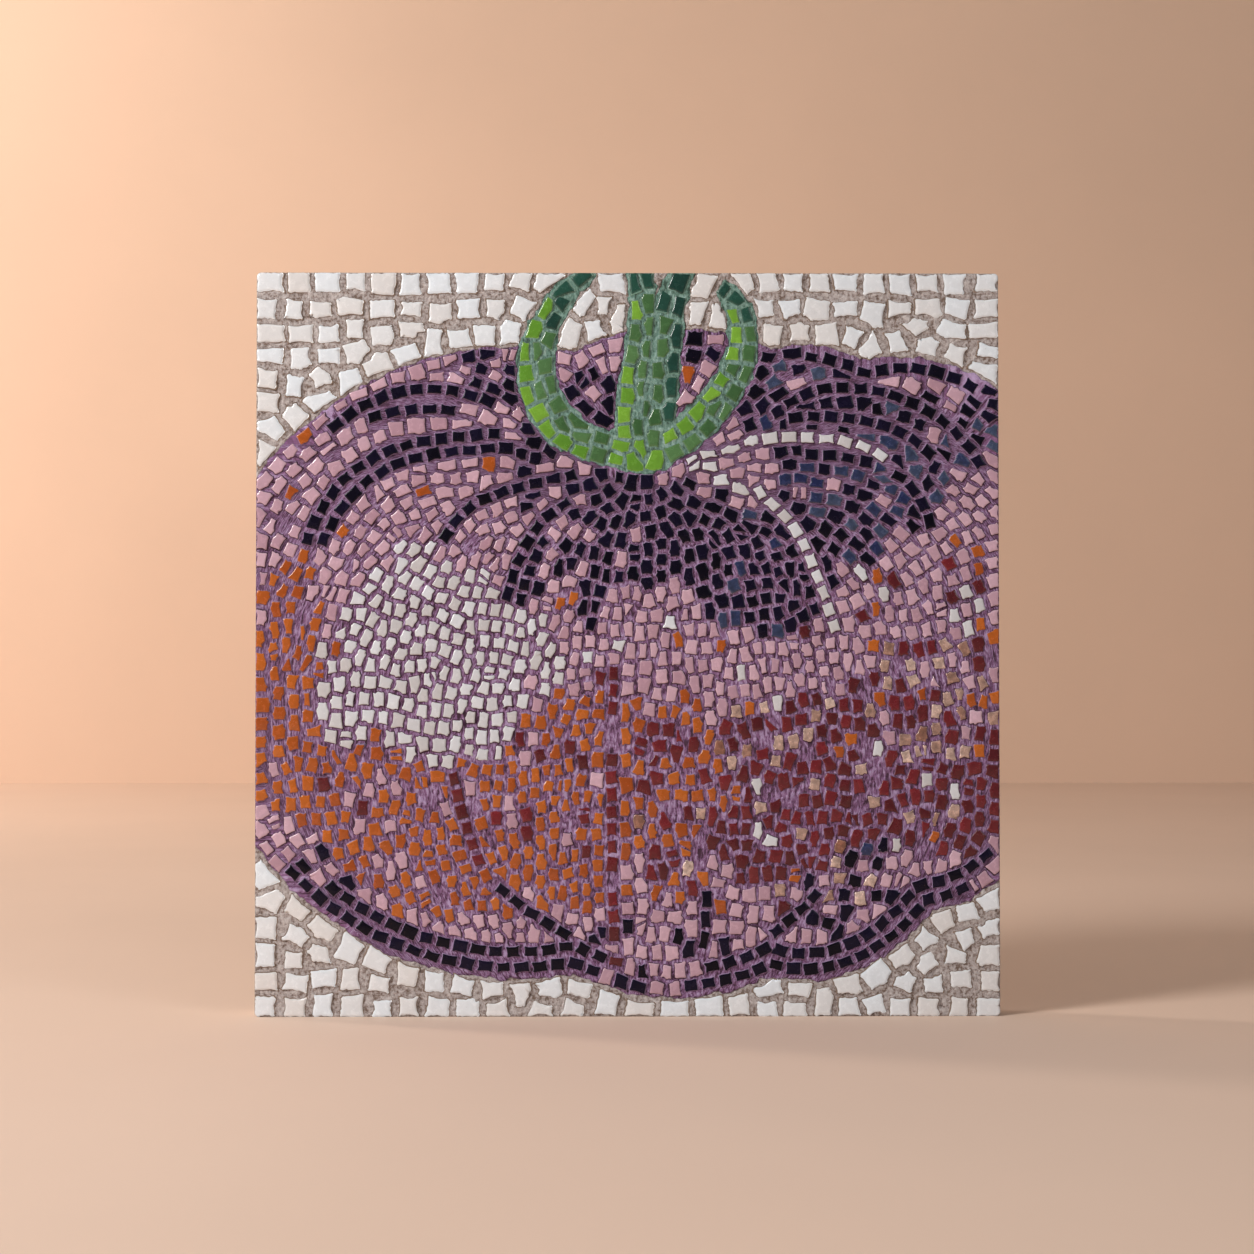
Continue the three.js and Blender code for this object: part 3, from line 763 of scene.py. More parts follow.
def spread_grout(name, loops, spacing, lift, rake=lambda x, z: (x, z)):
    """Fills the fields with grout: a fine wavy face, closed sides, and a flat back on the board."""
    vertices = []
    faces = []
    uv = []
    row_pitch = 0.866
    for loop in loops:
        outline = grout_outline(loop, spacing)
        low, high = outline.min(0), outline.max(0)
        rows = np.arange(low[1], high[1], spacing * row_pitch)
        columns = np.arange(low[0] - spacing, high[0] + spacing, spacing)
        x, z = np.meshgrid(columns, rows)
        x = x + (np.arange(len(rows)) % 2 * spacing / 2)[:, None]
        x, z = x.ravel(), z.ravel()
        loose = np.random.default_rng(9)
        x = x + loose.uniform(-0.2, 0.2, len(x)) * spacing
        z = z + loose.uniform(-0.2, 0.2, len(z)) * spacing
        inside = shaded([list(map(tuple, outline))], fine_step)
        depth = distance_to(~np.pad(inside, 1), spacing * 1.2, fine_step)[1:-1, 1:-1]
        i = np.clip(((x + panel_half) / fine_step).astype(int), 0, inside.shape[1] - 1)
        j = np.clip((z / fine_step).astype(int), 0, inside.shape[0] - 1)
        keep = (depth[j, i] > spacing * 0.55) & (np.abs(x) < panel_half - spacing / 2)
        keep &= (z > spacing / 2) & (z < panel_top - spacing / 2)
        points = np.r_[outline, np.c_[x, z][keep]]
        count = len(outline)
        ring = [(k, (k + 1) % count) for k in range(count)]
        found = delaunay_2d_cdt([Vector(p) for p in points], ring, [], 1, 1e-7)
        flat = np.array([tuple(v) for v in found[0]])
        triangles = [t if area_of([flat[k] for k in t]) > 0 else t[::-1] for t in found[2]]
        edges = {(t[k], t[(k + 1) % 3]) for t in triangles for k in range(3)}
        follow = {a: b for a, b in edges if (b, a) not in edges}
        face = grout_face - lift(flat[:, 0], flat[:, 1])
        first = len(vertices)
        vertices += [(x, y, z) for (x, z), y in zip(flat, face)]
        faces += [tuple(first + k for k in t) for t in triangles]
        start = next(iter(follow))
        rim = [start]
        while follow[rim[-1]] != start:
            rim.append(follow[rim[-1]])
        back = len(vertices)
        vertices += [(flat[k][0], board_front, flat[k][1]) for k in rim]
        for k, here in enumerate(rim):
            after = (k + 1) % len(rim)
            faces.append((first + rim[after], first + here, back + k, back + after))
        faces.append(tuple(reversed(range(back, back + len(rim)))))
        across, along = rake(flat[:, 0], flat[:, 1])
        uv += list(zip(across, along)) + [(across[k], along[k]) for k in rim]
    piece = add_piece(name, vertices, faces, smooth=True)
    raked = piece.data.uv_layers.new(name="rake")
    corner = np.zeros(len(piece.data.loops), int)
    piece.data.loops.foreach_get("vertex_index", corner)
    raked.data.foreach_set("uv", np.array(uv)[corner].ravel())
    return piece


def grout_group():
    """Cement grout: cloudy colour, sandy grain, the drag marks of the trowel, and painted shade in their
    furrows with a painted highlight on their ridges.
    """
    tree = bpy.data.node_groups.new("grout body", "ShaderNodeTree")
    add_sockets(tree, "INPUT", Color=("Furrow Shade", "Body", "Ridge Highlight"), Float=("Drag", "Grain"))
    add_sockets(tree, "OUTPUT", Color=["Color"], Float=["Height"])
    given = add_node(tree, "NodeGroupInput", (-1500, 0)).outputs
    where = object_place(tree, (-1500, -300))
    rake = add_node(tree, "ShaderNodeUVMap", (-1500, -600), {"uv_map": "rake"}).outputs["UV"]
    stretch = add_node(tree, "ShaderNodeMapping", (-1300, -600), None, Vector=rake, Scale=(620, 170, 1))
    clouds = noise(tree, (-1100, 200), where, 110, 5, 0.65)
    sand = noise(tree, (-1100, -100), where, 480, 7, 0.72)
    drag = noise(tree, (-1100, -500), stretch.outputs["Vector"], 1, 6, 0.68, 0.5)
    dragged = mixed(tree, (-800, -300), given["Drag"], sand, drag, kind="FLOAT")
    half = mixed(tree, (-550, -50), 0.2, dragged, clouds, kind="FLOAT")
    # Darker where the drag noise is low and paler where it is high, the same noise that raises the bump:
    # painted shade in the furrows and a painted highlight on the ridges, over the grout's own cloudy tone.
    low = ranged(tree, (-300, 200), half, 0.43, 0.49)
    high = ranged(tree, (-300, -100), half, 0.5, 0.57)
    first = mixed(tree, (0, 200), low, given["Furrow Shade"], given["Body"])
    second = mixed(tree, (250, 100), high, first, given["Ridge Highlight"])
    sandy = maths(tree, (0, -300), "MULTIPLY", sand, given["Grain"])
    total = maths(tree, (250, -300), "ADD", dragged, sandy)
    add_node(tree, "NodeGroupOutput", (1200, 0), None, Color=second, Height=total)
    return tree


grout_nodes = grout_group()


# The deep colour is painted shade for the furrows, the ridge colour a painted highlight; the body colour is
# the grout's own.
def grout(name, deep, body, ridge_highlight, drag, grain, depth):
    material, tree, surface = new_material(name)
    group = add_node(tree, "ShaderNodeGroup", (-700, 0), {"node_tree": grout_nodes}, Drag=drag, Grain=grain)
    for key, colour in (("Furrow Shade", deep), ("Body", body), ("Ridge Highlight", ridge_highlight)):
        group.inputs[key].default_value = (*colour, 1)
    relief = bumped(tree, (-300, -200), group.outputs["Height"], 0.9, depth)
    feed(tree, surface, {"Base Color": group.outputs["Color"], "Normal": relief, "Roughness": 0.85})
    return material


def climb(tiles):
    """How close the grout is to a tile, from 1 against it to 0 out in the joint."""
    away = distance_to(shaded(tiles, fine_step), 3 * mm, fine_step)
    return np.exp(-(away / (0.9 * mm)) ** 1.5)


ground_climb = climb(ground_cut)


def ground_lift(x, z):
    hills = rough_hills(x, z, 6 * mm, 2.2 * mm, 0.7, 21)
    pits = np.clip(cloud(x, z, 1.6 * mm, 23) - 0.78, 0, 1) * 3
    return (0.2 + 0.15 * sample(ground_climb, x, z, fine_step) + 0.7 * hills - 0.7 * pits) * mm


ground_grout = spread_grout("ground_grout", ground_edges, 1.0 * mm, ground_lift)
buff_tones = (0.21, 0.15, 0.12), (0.48, 0.42, 0.41), (0.68, 0.63, 0.62)
ground_grout.data.materials.append(grout("buff grout", *buff_tones, drag=0.2, grain=0.6, depth=1.4 * mm))
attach(ground_grout, "root")
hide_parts(*ground_names)


# RIBBED FRUIT
# Small glass and ceramic tiles, nipped to about 8 mm, laid along the ribs from stalk to foot.
# Dark lines draw the ribs and the rim; pink, orange, maroon and white tiles fill the ribs between.
# The purple grout was dragged down along the ribs while it was soft.

rib_tile_along = 9.9 * mm
rib_tile_across = 7.5 * mm
rib_joint = 1.0 * mm
body_middle = (0.025, 0.49175)
body_reach = (0.5375, 0.5)
dimple_depth, dimple_spread = 0.2375, 40.0
body_tilt = math.radians(22)
body_fullness = 0.8


def on_body(around, down):
    """A point round the fruit and down from its stalk, in degrees: x, z and how near it is."""
    turn, fall = np.radians(around), np.radians(down)
    reach = body_reach[0] * np.sin(fall) ** body_fullness
    rise = body_reach[1] * np.cos(fall) - dimple_depth * np.exp(-((down / dimple_spread) ** 2))
    across = body_middle[0] + reach * np.sin(turn)
    up = body_middle[1] + rise * math.cos(body_tilt) - reach * np.cos(turn) * math.sin(body_tilt)
    near = reach * np.cos(turn) * math.cos(body_tilt) + rise * math.sin(body_tilt)
    return across * panel_width, up * panel_top, near


def ribs_on_grid():
    """For each cell: the way the ribs run there, and where it is round and down the fruit."""
    around, down = np.meshgrid(np.linspace(-179.9, 179.9, 2600), np.linspace(4, 150, 1000))
    around, down = around.ravel(), down.ravel()
    x, z, near = on_body(around, down)
    x_on, z_on, _ = on_body(around, down + 0.5)
    way = 2 * np.arctan2(z_on - z, x_on - x)
    i = ((x + panel_half) / cell).astype(int)
    j = (z / cell).astype(int)
    seen = (i >= 0) & (i < wide) & (j >= 0) & (j < tall)
    order = np.argsort(near[seen])
    i, j = i[seen][order], j[seen][order]
    layers = [np.cos(way), np.sin(way), around, down]
    grids = []
    known = np.zeros((tall, wide), bool)
    known[j, i] = True
    for values in layers:
        grid = np.zeros((tall, wide))
        grid[j, i] = values[seen][order]
        grids.append(grid)
    while not known.all():
        count = neighbours(np.pad(known * 1, 1))
        fresh = ~known & (count > 0)
        for grid in grids:
            grid[fresh] = neighbours(np.pad(grid * known, 1))[fresh] / count[fresh]
        known |= fresh
    return grids


double_cos, double_sin, around_grid, down_grid = ribs_on_grid()
fruit_shade = shaded(fruit_edges, cell)
to_ground = distance_to(shaded(ground_edges, cell), 30 * mm, cell)
to_calyx = distance_to(shaded(calyx_edges, cell), 14 * mm, cell)
ground_z, ground_x = np.gradient(softened(to_ground, 4))
calyx_z, calyx_x = np.gradient(softened(to_calyx, 4))
rim_way = 2 * np.arctan2(ground_x, -ground_z)
hold = np.clip((13 * mm - to_ground) / (6 * mm), 0, 1)
double_cos = softened(double_cos * (1 - hold) + np.cos(rim_way) * hold, 6)
double_sin = softened(double_sin * (1 - hold) + np.sin(rim_way) * hold, 6)
rib_way = np.arctan2(double_sin, double_cos) / 2
rib_x, rib_z = np.cos(rib_way), np.sin(rib_way)


def cell_of(x, z):
    i, j = int((x + panel_half) / cell), int(z / cell)
    return min(max(j, 0), tall - 1), min(max(i, 0), wide - 1)


def settle(sites, free, rounds):
    """Moves every tile to the middle of the room its neighbours leave it, some rounds over."""
    reach = int(1.7 * rib_tile_along / cell)
    cells_x, cells_z = np.meshgrid(grid_x, grid_z)
    for _ in range(rounds):
        best = np.full((tall, wide), np.inf)
        owner = np.full((tall, wide), -1)
        for n, (x, z) in enumerate(sites):
            j, i = cell_of(x, z)
            i0, i1 = max(0, i - reach), i + reach + 1
            j0, j1 = max(0, j - reach), j + reach + 1
            dx = grid_x[i0:i1] - x
            dz = grid_z[j0:j1, None] - z
            u = np.abs(dx * rib_x[j, i] + dz * rib_z[j, i]) / rib_tile_along
            v = np.abs(dz * rib_x[j, i] - dx * rib_z[j, i]) / rib_tile_across
            far = np.maximum(u, v) + 0.15 * np.minimum(u, v)
            window = best[j0:j1, i0:i1]
            nearer = far < window
            window[nearer] = far[nearer]
            owner[j0:j1, i0:i1][nearer] = n
        held = (owner >= 0) & free
        count = np.bincount(owner[held], minlength=len(sites))
        x = np.bincount(owner[held], cells_x[held], len(sites))
        z = np.bincount(owner[held], cells_z[held], len(sites))
        some = count > 0
        sites = np.c_[x[some] / count[some], z[some] / count[some]]
    return sites


def first_places(free, wanted):
    """Chance places for the tiles, none nearer to another than some cells."""
    apart = 5
    places = np.argwhere(free & (to_laid > 2 * mm))
    places = places[dice.permutation(len(places))]
    taken = np.zeros((tall, wide), bool)
    sites = []
    for j, i in places:
        if len(sites) >= wanted:
            break
        if not taken[max(0, j - apart) : j + apart + 1, max(0, i - apart) : i + apart + 1].any():
            taken[j, i] = True
            sites.append((grid_x[i], grid_z[j]))
    return np.array(sites)


dice = np.random.default_rng(23)
to_laid = distance_to(shaded(fruit_laid, cell), 6 * mm, cell)
clear = 0.8 * mm
free = fruit_shade & (to_laid > clear) & (to_ground > clear) & (to_calyx > clear)
whole_tile = rib_tile_along * rib_tile_across
sites = first_places(free, round(free.sum() * cell * cell / whole_tile * 1.04))
sites = settle(sites, free, 22)

# The picture's colours, in broad areas: middle and half size in millimetres, and the mix of tiles.
# A later area lies over an earlier one.
areas = [
    ((-182, 280), (14, 40), {"pink": 0.7, "orange": 0.3}),
    ((-183, 175), (31, 70), {"orange": 0.9, "pink": 0.1}),
    ((-106, 102), (92, 52), {"orange": 0.93, "pink": 0.05, "maroon": 0.02}),
    ((-20, 116), (52, 58), {"orange": 0.82, "maroon": 0.1, "pink": 0.08}),
    ((119, 117), (88, 60), {"maroon": 0.81, "copper": 0.13, "cream": 0.025, "orange": 0.035}),
    ((28, 120), (24, 54), {"orange": 0.5, "maroon": 0.44, "copper": 0.06}),
    ((168, 176), (40, 40), {"copper": 0.45, "pink": 0.16, "maroon": 0.31, "orange": 0.08}),
    ((38, 200), (92, 27), {"pink": 0.85, "orange": 0.07, "maroon": 0.05, "cream": 0.03}),
    ((157, 224), (50, 25), {"pink": 0.83, "cream": 0.09, "maroon": 0.04, "orange": 0.04}),
    ((-106, 202), (56, 40), {"cream": 1.0}),
    ((-96, 162), (37, 27), {"cream": 1.0}),
    ((-150, 170), (19, 24), {"cream": 1.0}),
    ((-53, 192), (19, 24), {"cream": 0.9, "pink": 0.1}),
    ((-114, 245), (10, 14), {"cream": 1.0}),
    ((125, 294), (47, 47), {"navy": 0.47, "slate": 0.37, "pink": 0.16}),
    ((12, 262), (51, 32), {"navy": 0.93, "pink": 0.07}),
    ((74, 238), (43, 33), {"navy": 0.86, "slate": 0.14}),
    ((-28, 264), (32, 30), {"navy": 0.82, "pink": 0.18}),
    ((-19, 224), (7.5, 19), {"navy": 1.0}),
    ((-55, 237), (8.6, 19), {"navy": 1.0}),
    ((87, 337), (59, 27), {"navy": 0.68, "slate": 0.17, "pink": 0.15}),
    ((186, 331), (26, 32), {"navy": 0.42, "slate": 0.26, "pink": 0.32}),
    ((133, 338), (31, 5), {"pink": 0.88, "navy": 0.12}),
    ((173, 328), (11, 11), {"pink": 0.75, "navy": 0.15, "copper": 0.1}),
    ((-50, 308), (17, 17), {"navy": 0.8, "pink": 0.2}),
    ((-74, 345), (32, 19), {"navy": 0.6, "pink": 0.4}),
    ((-15, 361), (15, 11), {"pink": 0.88, "orange": 0.12}),
    ((-20, 331), (15, 19), {"navy": 0.88, "pink": 0.12}),
    ((41, 353), (15, 16), {"pink": 0.45, "orange": 0.15, "navy": 0.4}),
    ((14, 34), (52, 20), {"pink": 0.62, "navy": 0.38}),
    ((135, 60), (44, 30), {"navy": 0.5, "pink": 0.32, "copper": 0.1, "slate": 0.08}),
]
elsewhere = {"pink": 0.945, "orange": 0.055}
area_waver = 0.045
# Along the fruit's lower rim runs a fringe of pink and navy, darker at the foot.
fringe = {"pink": 0.78, "navy": 0.2, "copper": 0.02}
fringe_width = 29 * mm
fringe_top = 0.42 * panel_top
foot = {"navy": 0.78, "pink": 0.22}
foot_middle, foot_half = 14 * mm, 52 * mm
foot_depth = 13 * mm

# The ribs that the laid tiles draw in white and in maroon, as three turns round and three falls down
# the fruit in degrees, and the first stretch of the white ones in millimetres.
light_ribs = [((60, 37, 31), (14, 29, 65)), ((117, 101, 80), (14, 22, 33))]
seam_ribs = [((-5, -5, -5), (67, 90, 121)), ((-29, -27, -24), (88, 97, 107))]
light_starts = [[(44, 304), (64, 309.5), (77, 311)], [(34, 297.5), (56, 287.5), (71, 282)]]
light_half = 3.7


def mix_at(x, z):
    found = elsewhere
    for (ax, az), (rx, rz), mix in areas:
        away = math.hypot((x / mm - ax) / rx, (z / mm - az) / rz)
        if away + dice.normal(0, area_waver) < 1:
            found = mix
    to_rim = to_ground[cell_of(x, z)]
    if z < fringe_top and found is not elsewhere and to_rim < fringe_width * dice.uniform(0.7, 0.98):
        at_foot = abs(x - foot_middle) < foot_half and to_rim < foot_depth
        found = foot if at_foot else fringe
    return found


def pick_colour(x, z):
    mix = mix_at(x, z)
    return dice.choice(list(mix), p=np.array(list(mix.values())) / sum(mix.values()))


def rib_points(around, down):
    t = np.linspace(0, 1, 60)
    weights = ((1 - t) * (1 - 2 * t), 4 * t * (1 - t), t * (2 * t - 1))
    turn = sum(w * a for w, a in zip(weights, around))
    fall = sum(w * d for w, d in zip(weights, down))
    x, z, _ = on_body(turn, fall)
    return np.c_[x, z]


def near_start(x, z):
    """Whether a point is on the first stretch of a light rib, between the stalk and the laid tiles."""
    x, z = x / mm, z / mm
    for line in light_starts:
        for (x0, z0), (x1, z1) in zip(line, line[1:]):
            dx, dz = x1 - x0, z1 - z0
            share = min(max(((x - x0) * dx + (z - z0) * dz) / (dx**2 + dz**2), 0), 1)
            if math.hypot(x0 + dx * share - x, z0 + dz * share - z) < light_half:
                return True
    return False


def near_rib(ribs, x, z):
    return any(np.hypot(*(rib_points(*rib) - (x, z)).T).min() < 3 * mm for rib in ribs)


# Where the warm colours are, the joints are wider and the tiles are turned more.
wide_jointed = {"orange": 1.5 * mm, "maroon": 1.15 * mm, "copper": 1.4 * mm}
laid_middles = np.array([np.mean(loop, 0) for loop in fruit_laid])
fruit_tiles = {name: [] for name in ("navy", "slate", "pink", "orange", "maroon", "cream", "copper")}
for loop, (x, z) in zip(fruit_laid, laid_middles):
    colour = "cream" if near_rib(light_ribs, x, z) else "maroon" if near_rib(seam_ribs, x, z) else "navy"
    least = 0.8
    if colour == "maroon":
        colour = dice.choice(("maroon", "orange", "left out"), p=(0.8, 0.09, 0.11))
        least = 0.74
    if colour != "left out":
        fruit_tiles[colour].append(nipped(shrunk(loop, dice, least, turned=9), dice, bite=0.9 * mm))

distances = np.hypot(*(sites[:, None] - sites[None]).transpose(2, 0, 1))
edge_band, edge_joint, panel_joint = 12 * mm, 1.1 * mm, 0.2 * mm


def room_of(n, joint):
    """The room of one tile: a block along the rib, cut back from its neighbours and all edges."""
    x, z = sites[n]
    j, i = cell_of(x, z)
    cx, cz = rib_x[j, i], rib_z[j, i]
    room = []
    for u, v in ((-1, -1), (1, -1), (1, 1), (-1, 1)):
        a, b = u * 0.6 * rib_tile_along, v * 0.6 * rib_tile_across
        room.append((x + a * cx - b * cz, z + a * cz + b * cx))
    cuts = []
    for m in np.flatnonzero(distances[n] < 1.8 * rib_tile_along):
        if m == n:
            continue
        dx, dz = sites[m] - (x, z)
        u, v = (dx * cx + dz * cz) / rib_tile_along, (dz * cx - dx * cz) / rib_tile_across
        ax, az = (cx, cz) if abs(u) > abs(v) else (-cz, cx)
        if ax * dx + az * dz < 0:
            ax, az = -ax, -az
        length = math.hypot(dx, dz)
        fx, fz = ax + 0.8 * dx / length, az + 0.8 * dz / length
        size = math.hypot(fx, fz)
        fx, fz = fx / size, fz / size
        cuts.append((x + dx / 2 - fx * joint / 2, z + dz / 2 - fz * joint / 2, fx, fz))
    for m in np.flatnonzero(np.hypot(*(laid_middles - (x, z)).T) < 1.9 * rib_tile_along):
        loop = fruit_laid[m]
        facing = []
        for (x0, z0), (x1, z1) in zip(loop, loop[1:] + loop[:1]):
            size = max(math.hypot(x1 - x0, z1 - z0), 1e-9)
            nx, nz = (z1 - z0) / size, (x0 - x1) / size
            facing.append(((x - x0) * nx + (z - z0) * nz, x0, z0, nx, nz))
        _, x0, z0, nx, nz = max(facing)
        cuts.append((x0 + nx * rib_joint * 0.8, z0 + nz * rib_joint * 0.8, -nx, -nz))
    for away, across, up in ((to_ground, ground_x, ground_z), (to_calyx, calyx_x, calyx_z)):
        gx, gz = across[j, i], up[j, i]
        size = math.hypot(gx, gz)
        if size > 0 and away[j, i] < edge_band:
            gx, gz = gx / size, gz / size
            inset = away[j, i] - edge_joint
            cuts.append((x - gx * inset, z - gz * inset, -gx, -gz))
    for side in (1, -1):
        cuts.append((side * (panel_half - panel_joint), 0, side, 0))
    for cut in cuts:
        room = trimmed(room, *cut) if len(room) > 2 else room
    return room


def split(room, cx, cz):
    """A tile that broke in two along or across the rib, as it was cut."""
    slant = dice.choice((0, math.pi / 2)) + dice.normal(0, 0.35)
    fx, fz = cx * math.cos(slant) - cz * math.sin(slant), cz * math.cos(slant) + cx * math.sin(slant)
    gap = 0.45 * mm
    px, pz = np.mean(room, 0) + np.array((fx, fz)) * dice.uniform(-1.6, 1.6) * mm
    return [
        trimmed(room, px - fx * gap, pz - fz * gap, fx, fz),
        trimmed(room, px + fx * gap, pz + fz * gap, -fx, -fz),
    ]


least_room, least_piece, split_room = 0.13 * whole_tile, 0.08 * whole_tile, 0.6 * whole_tile
slimmest = 0.045
left_out = 0.03
for n, (x, z) in enumerate(sites):
    colour = "cream" if near_start(x, z) else pick_colour(x, z)
    warm = colour in wide_jointed
    room = room_of(n, wide_jointed.get(colour, rib_joint))
    if len(room) < 3 or abs(area_of(room)) < least_room or (warm and dice.random() < left_out):
        continue
    pieces = [room]
    if abs(area_of(room)) > split_room and dice.random() < (0.09 if warm else 0.035):
        place = cell_of(x, z)
        pieces = split(room, rib_x[place], rib_z[place])
    least = 0.84 if colour == "maroon" else 0.76
    turned = 14 if warm else 8
    for piece in pieces:
        if len(piece) < 3:
            continue
        girth = sum(math.dist(a, b) for a, b in zip(piece, piece[1:] + piece[:1]))
        size = abs(area_of(piece))
        if size > least_piece and size / girth**2 >= slimmest:
            fruit_tiles[colour].append(nipped(shrunk(piece, dice, least, turned), dice, bite=0.8 * mm))

# The collars round the fruit's tiles are painted light and shade: a near-black painted shadow gap, a mid
# purple half shadow, and a pale lilac painted lit edge of the grout.
painted_shadow_bed = (0.085, 0.032, 0.06)
half_shadow_bed = (0.2, 0.12, 0.2)
lit_edge_bed = (0.34, 0.24, 0.38)
fruit_glazes = {
    "navy": glaze(
        "navy glass", (0.002, 0.0012, 0.006), (0.006, 0.004, 0.02), (0.05, 0.04, 0.08), lit_edge_bed,
        mottle=0.5, wear=0.35, ripple=0.5, ior=1.3,
    ),
    "slate": glaze(
        "slate glass", (0.009, 0.015, 0.075), (0.048, 0.068, 0.13), (0.15, 0.17, 0.2), lit_edge_bed,
        mottle=0.9, wear=0.6, ripple=0.8, coat=0.3,
    ),
    "pink": glaze(
        "pink glaze", (0.45, 0.268, 0.341), (0.63, 0.415, 0.508), (0.64, 0.5, 0.56), painted_shadow_bed,
        mottle=0.14, wear=0.6, ripple=0.6, coat=0.3,
    ),
    "orange": glaze(
        "orange glaze", (0.34, 0.064, 0.007), (0.50, 0.125, 0.014), (0.54, 0.24, 0.08), lit_edge_bed,
        mottle=0.25, wear=0.55, ripple=0.8, coat=0.3,
    ),
    "maroon": glaze(
        "maroon glaze", (0.078, 0.006, 0.0105), (0.175, 0.0125, 0.0195), (0.25, 0.07, 0.08), half_shadow_bed,
        mottle=0.4, wear=0.5, ripple=0.8, coat=0.2,
    ),
    "cream": glaze(
        "off-white glaze", (0.565, 0.55, 0.565), (0.71, 0.74, 0.79), (0.54, 0.46, 0.46), painted_shadow_bed,
        mottle=0.08, wear=0.5, ripple=0.6, coat=0.3,
    ),
    # The copper's dark tone is the leaf's own; its light tone is paler than the leaf, with painted glints in
    # it.
    "copper": glaze(
        "copper leaf glass", (0.26, 0.11, 0.07), (0.70, 0.52, 0.45), (0.8, 0.66, 0.6), painted_shadow_bed,
        mottle=0.9, wear=0.5, ripple=3.5, coat=0.5, metallic=0.2,
    ),
}
for number, (colour, outlines) in enumerate(fruit_tiles.items()):
    name = f"fruit_tiles_{colour}"
    fired = fruit_glazes[colour]
    tiles = set_tiles(name, outlines, fired, seed=50 + number, arris=0.28 * mm, crown=0.07 * mm)
    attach(tiles, "root")

fruit_climb = climb(sum(fruit_tiles.values(), []))
warm_tiles = sum((fruit_tiles[colour] for colour in sorted(wide_jointed)), [])
warm_part = np.clip(softened(shaded(warm_tiles, cell) * 1.0, 60) * 2.2, 0, 1)
around_scale = 3.7 * mm


def fruit_lift(x, z):
    """The grout's height: hills, and furrows dragged down the ribs, deeper by the warm tiles."""
    warm = sample(warm_part, x, z, cell)
    close = sample(fruit_climb, x, z, fine_step)
    hills = cloud(x, z, 5 * mm, 31) - 0.5
    turn, fall = sample(around_grid, x, z, cell), sample(down_grid, x, z, cell)
    furrows = cloud(turn * around_scale, fall * 3.2 * mm, 2.1 * mm, 32)
    furrows = furrows + 0.8 * cloud(turn * around_scale, fall * 0.9 * mm, 1.6 * mm, 33)
    rough = (furrows - 0.9) * (0.35 + 0.35 * warm)
    lift = 0.3 + 0.2 * warm + 0.12 * close + 0.3 * hills + rough
    return np.minimum(lift, 0.95 - 0.2 * close) * mm


def fruit_rake(x, z):
    """Across and along the drag marks, which run down the ribs."""
    return sample(around_grid, x, z, cell) * around_scale, sample(down_grid, x, z, cell) * 3.4 * mm


fruit_grout = spread_grout("fruit_grout", fruit_edges, 1.22 * mm, fruit_lift, fruit_rake)
purple_tones = (0.06, 0.021, 0.046), (0.26, 0.12, 0.265), (0.52, 0.38, 0.62)
fruit_grout.data.materials.append(grout("purple grout", *purple_tones, drag=0.82, grain=0.3, depth=2.2 * mm))
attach(fruit_grout, "root")
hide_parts(*fruit_names)


# GREEN CALYX
# Four curved sepals that meet in one heart, in glossy green tiles laid along each of them.
# Lime tiles light the side towards the left, and the tips are dark; the grout is a teal green.

sepals = {
    "left": [(0.0, 0.758), (-0.146, 0.769), (-0.166, 0.923), (-0.047, 1.005)],
    "middle_left": [(0.008, 0.755), (-0.012, 0.842), (0.036, 0.925), (0.014, 1.01)],
    "middle_right": [(0.032, 0.755), (0.053, 0.833), (0.038, 0.943), (0.078, 1.008)],
    "right": [(0.04, 0.758), (0.109, 0.784), (0.206, 0.912), (0.125, 0.982)],
}
sepal_steps = 60


def sepal_points(bend):
    t = np.linspace(0, 1, sepal_steps)[:, None]
    a, b, c, d = (np.array((x * panel_width, z * panel_top)) for x, z in bend)
    return a * (1 - t) ** 3 + 3 * b * t * (1 - t) ** 2 + 3 * c * t * t * (1 - t) + d * t**3


sepal_lines = {name: sepal_points(bend) for name, bend in sepals.items()}


def on_sepal(x, z):
    """The nearest sepal, how far along it a point is, and how far to the left of its middle."""
    found = None
    last = sepal_steps - 1
    for name, line in sepal_lines.items():
        away = np.hypot(*(line - (x, z)).T)
        k = int(away.argmin())
        if found is None or away[k] < found[0]:
            way = line[min(k + 1, last)] - line[max(k - 1, 0)]
            way = way / math.hypot(*way)
            left = (z - line[k][1]) * way[0] - (x - line[k][0]) * way[1]
            found = (away[k], name, k / last, left)
    return found[1:]


def calyx_colour(x, z):
    """Lime on the lit side and at the heart, dark at the tips, and mid green between."""
    name, along, left = on_sepal(x, z)
    stray = dice.random()
    if along < 0.08:
        return "lime" if x < 0.012 + 0.01 * stray or stray < 0.25 else "mid"
    if name == "middle_right":
        dark = along > 0.78 or (left < -1 * mm and along > 0.2) or stray < 0.06
        return "dark" if dark else "mid"
    if name == "middle_left":
        lime = (left > 1.2 * mm and along < 0.5) or (0.72 < along < 0.84 and left > 0)
        return "dark" if along > 0.84 else "lime" if lime else "mid"
    lit_from, lit_to = (1.5 * mm, 0.9) if name == "right" else (0.5 * mm, 0.8)
    lit = left > lit_from and along < lit_to
    if along > 0.76 and not lit:
        return "dark"
    return "lime" if lit and stray > 0.08 else "mid"


calyx_tiles = {"dark": [], "mid": [], "lime": []}
for loop in calyx_laid:
    x, z = np.mean(loop, 0)
    calyx_tiles[calyx_colour(x, z)].append(nipped(shrunk(loop, dice, least=0.86), dice, bite=0.5 * mm))

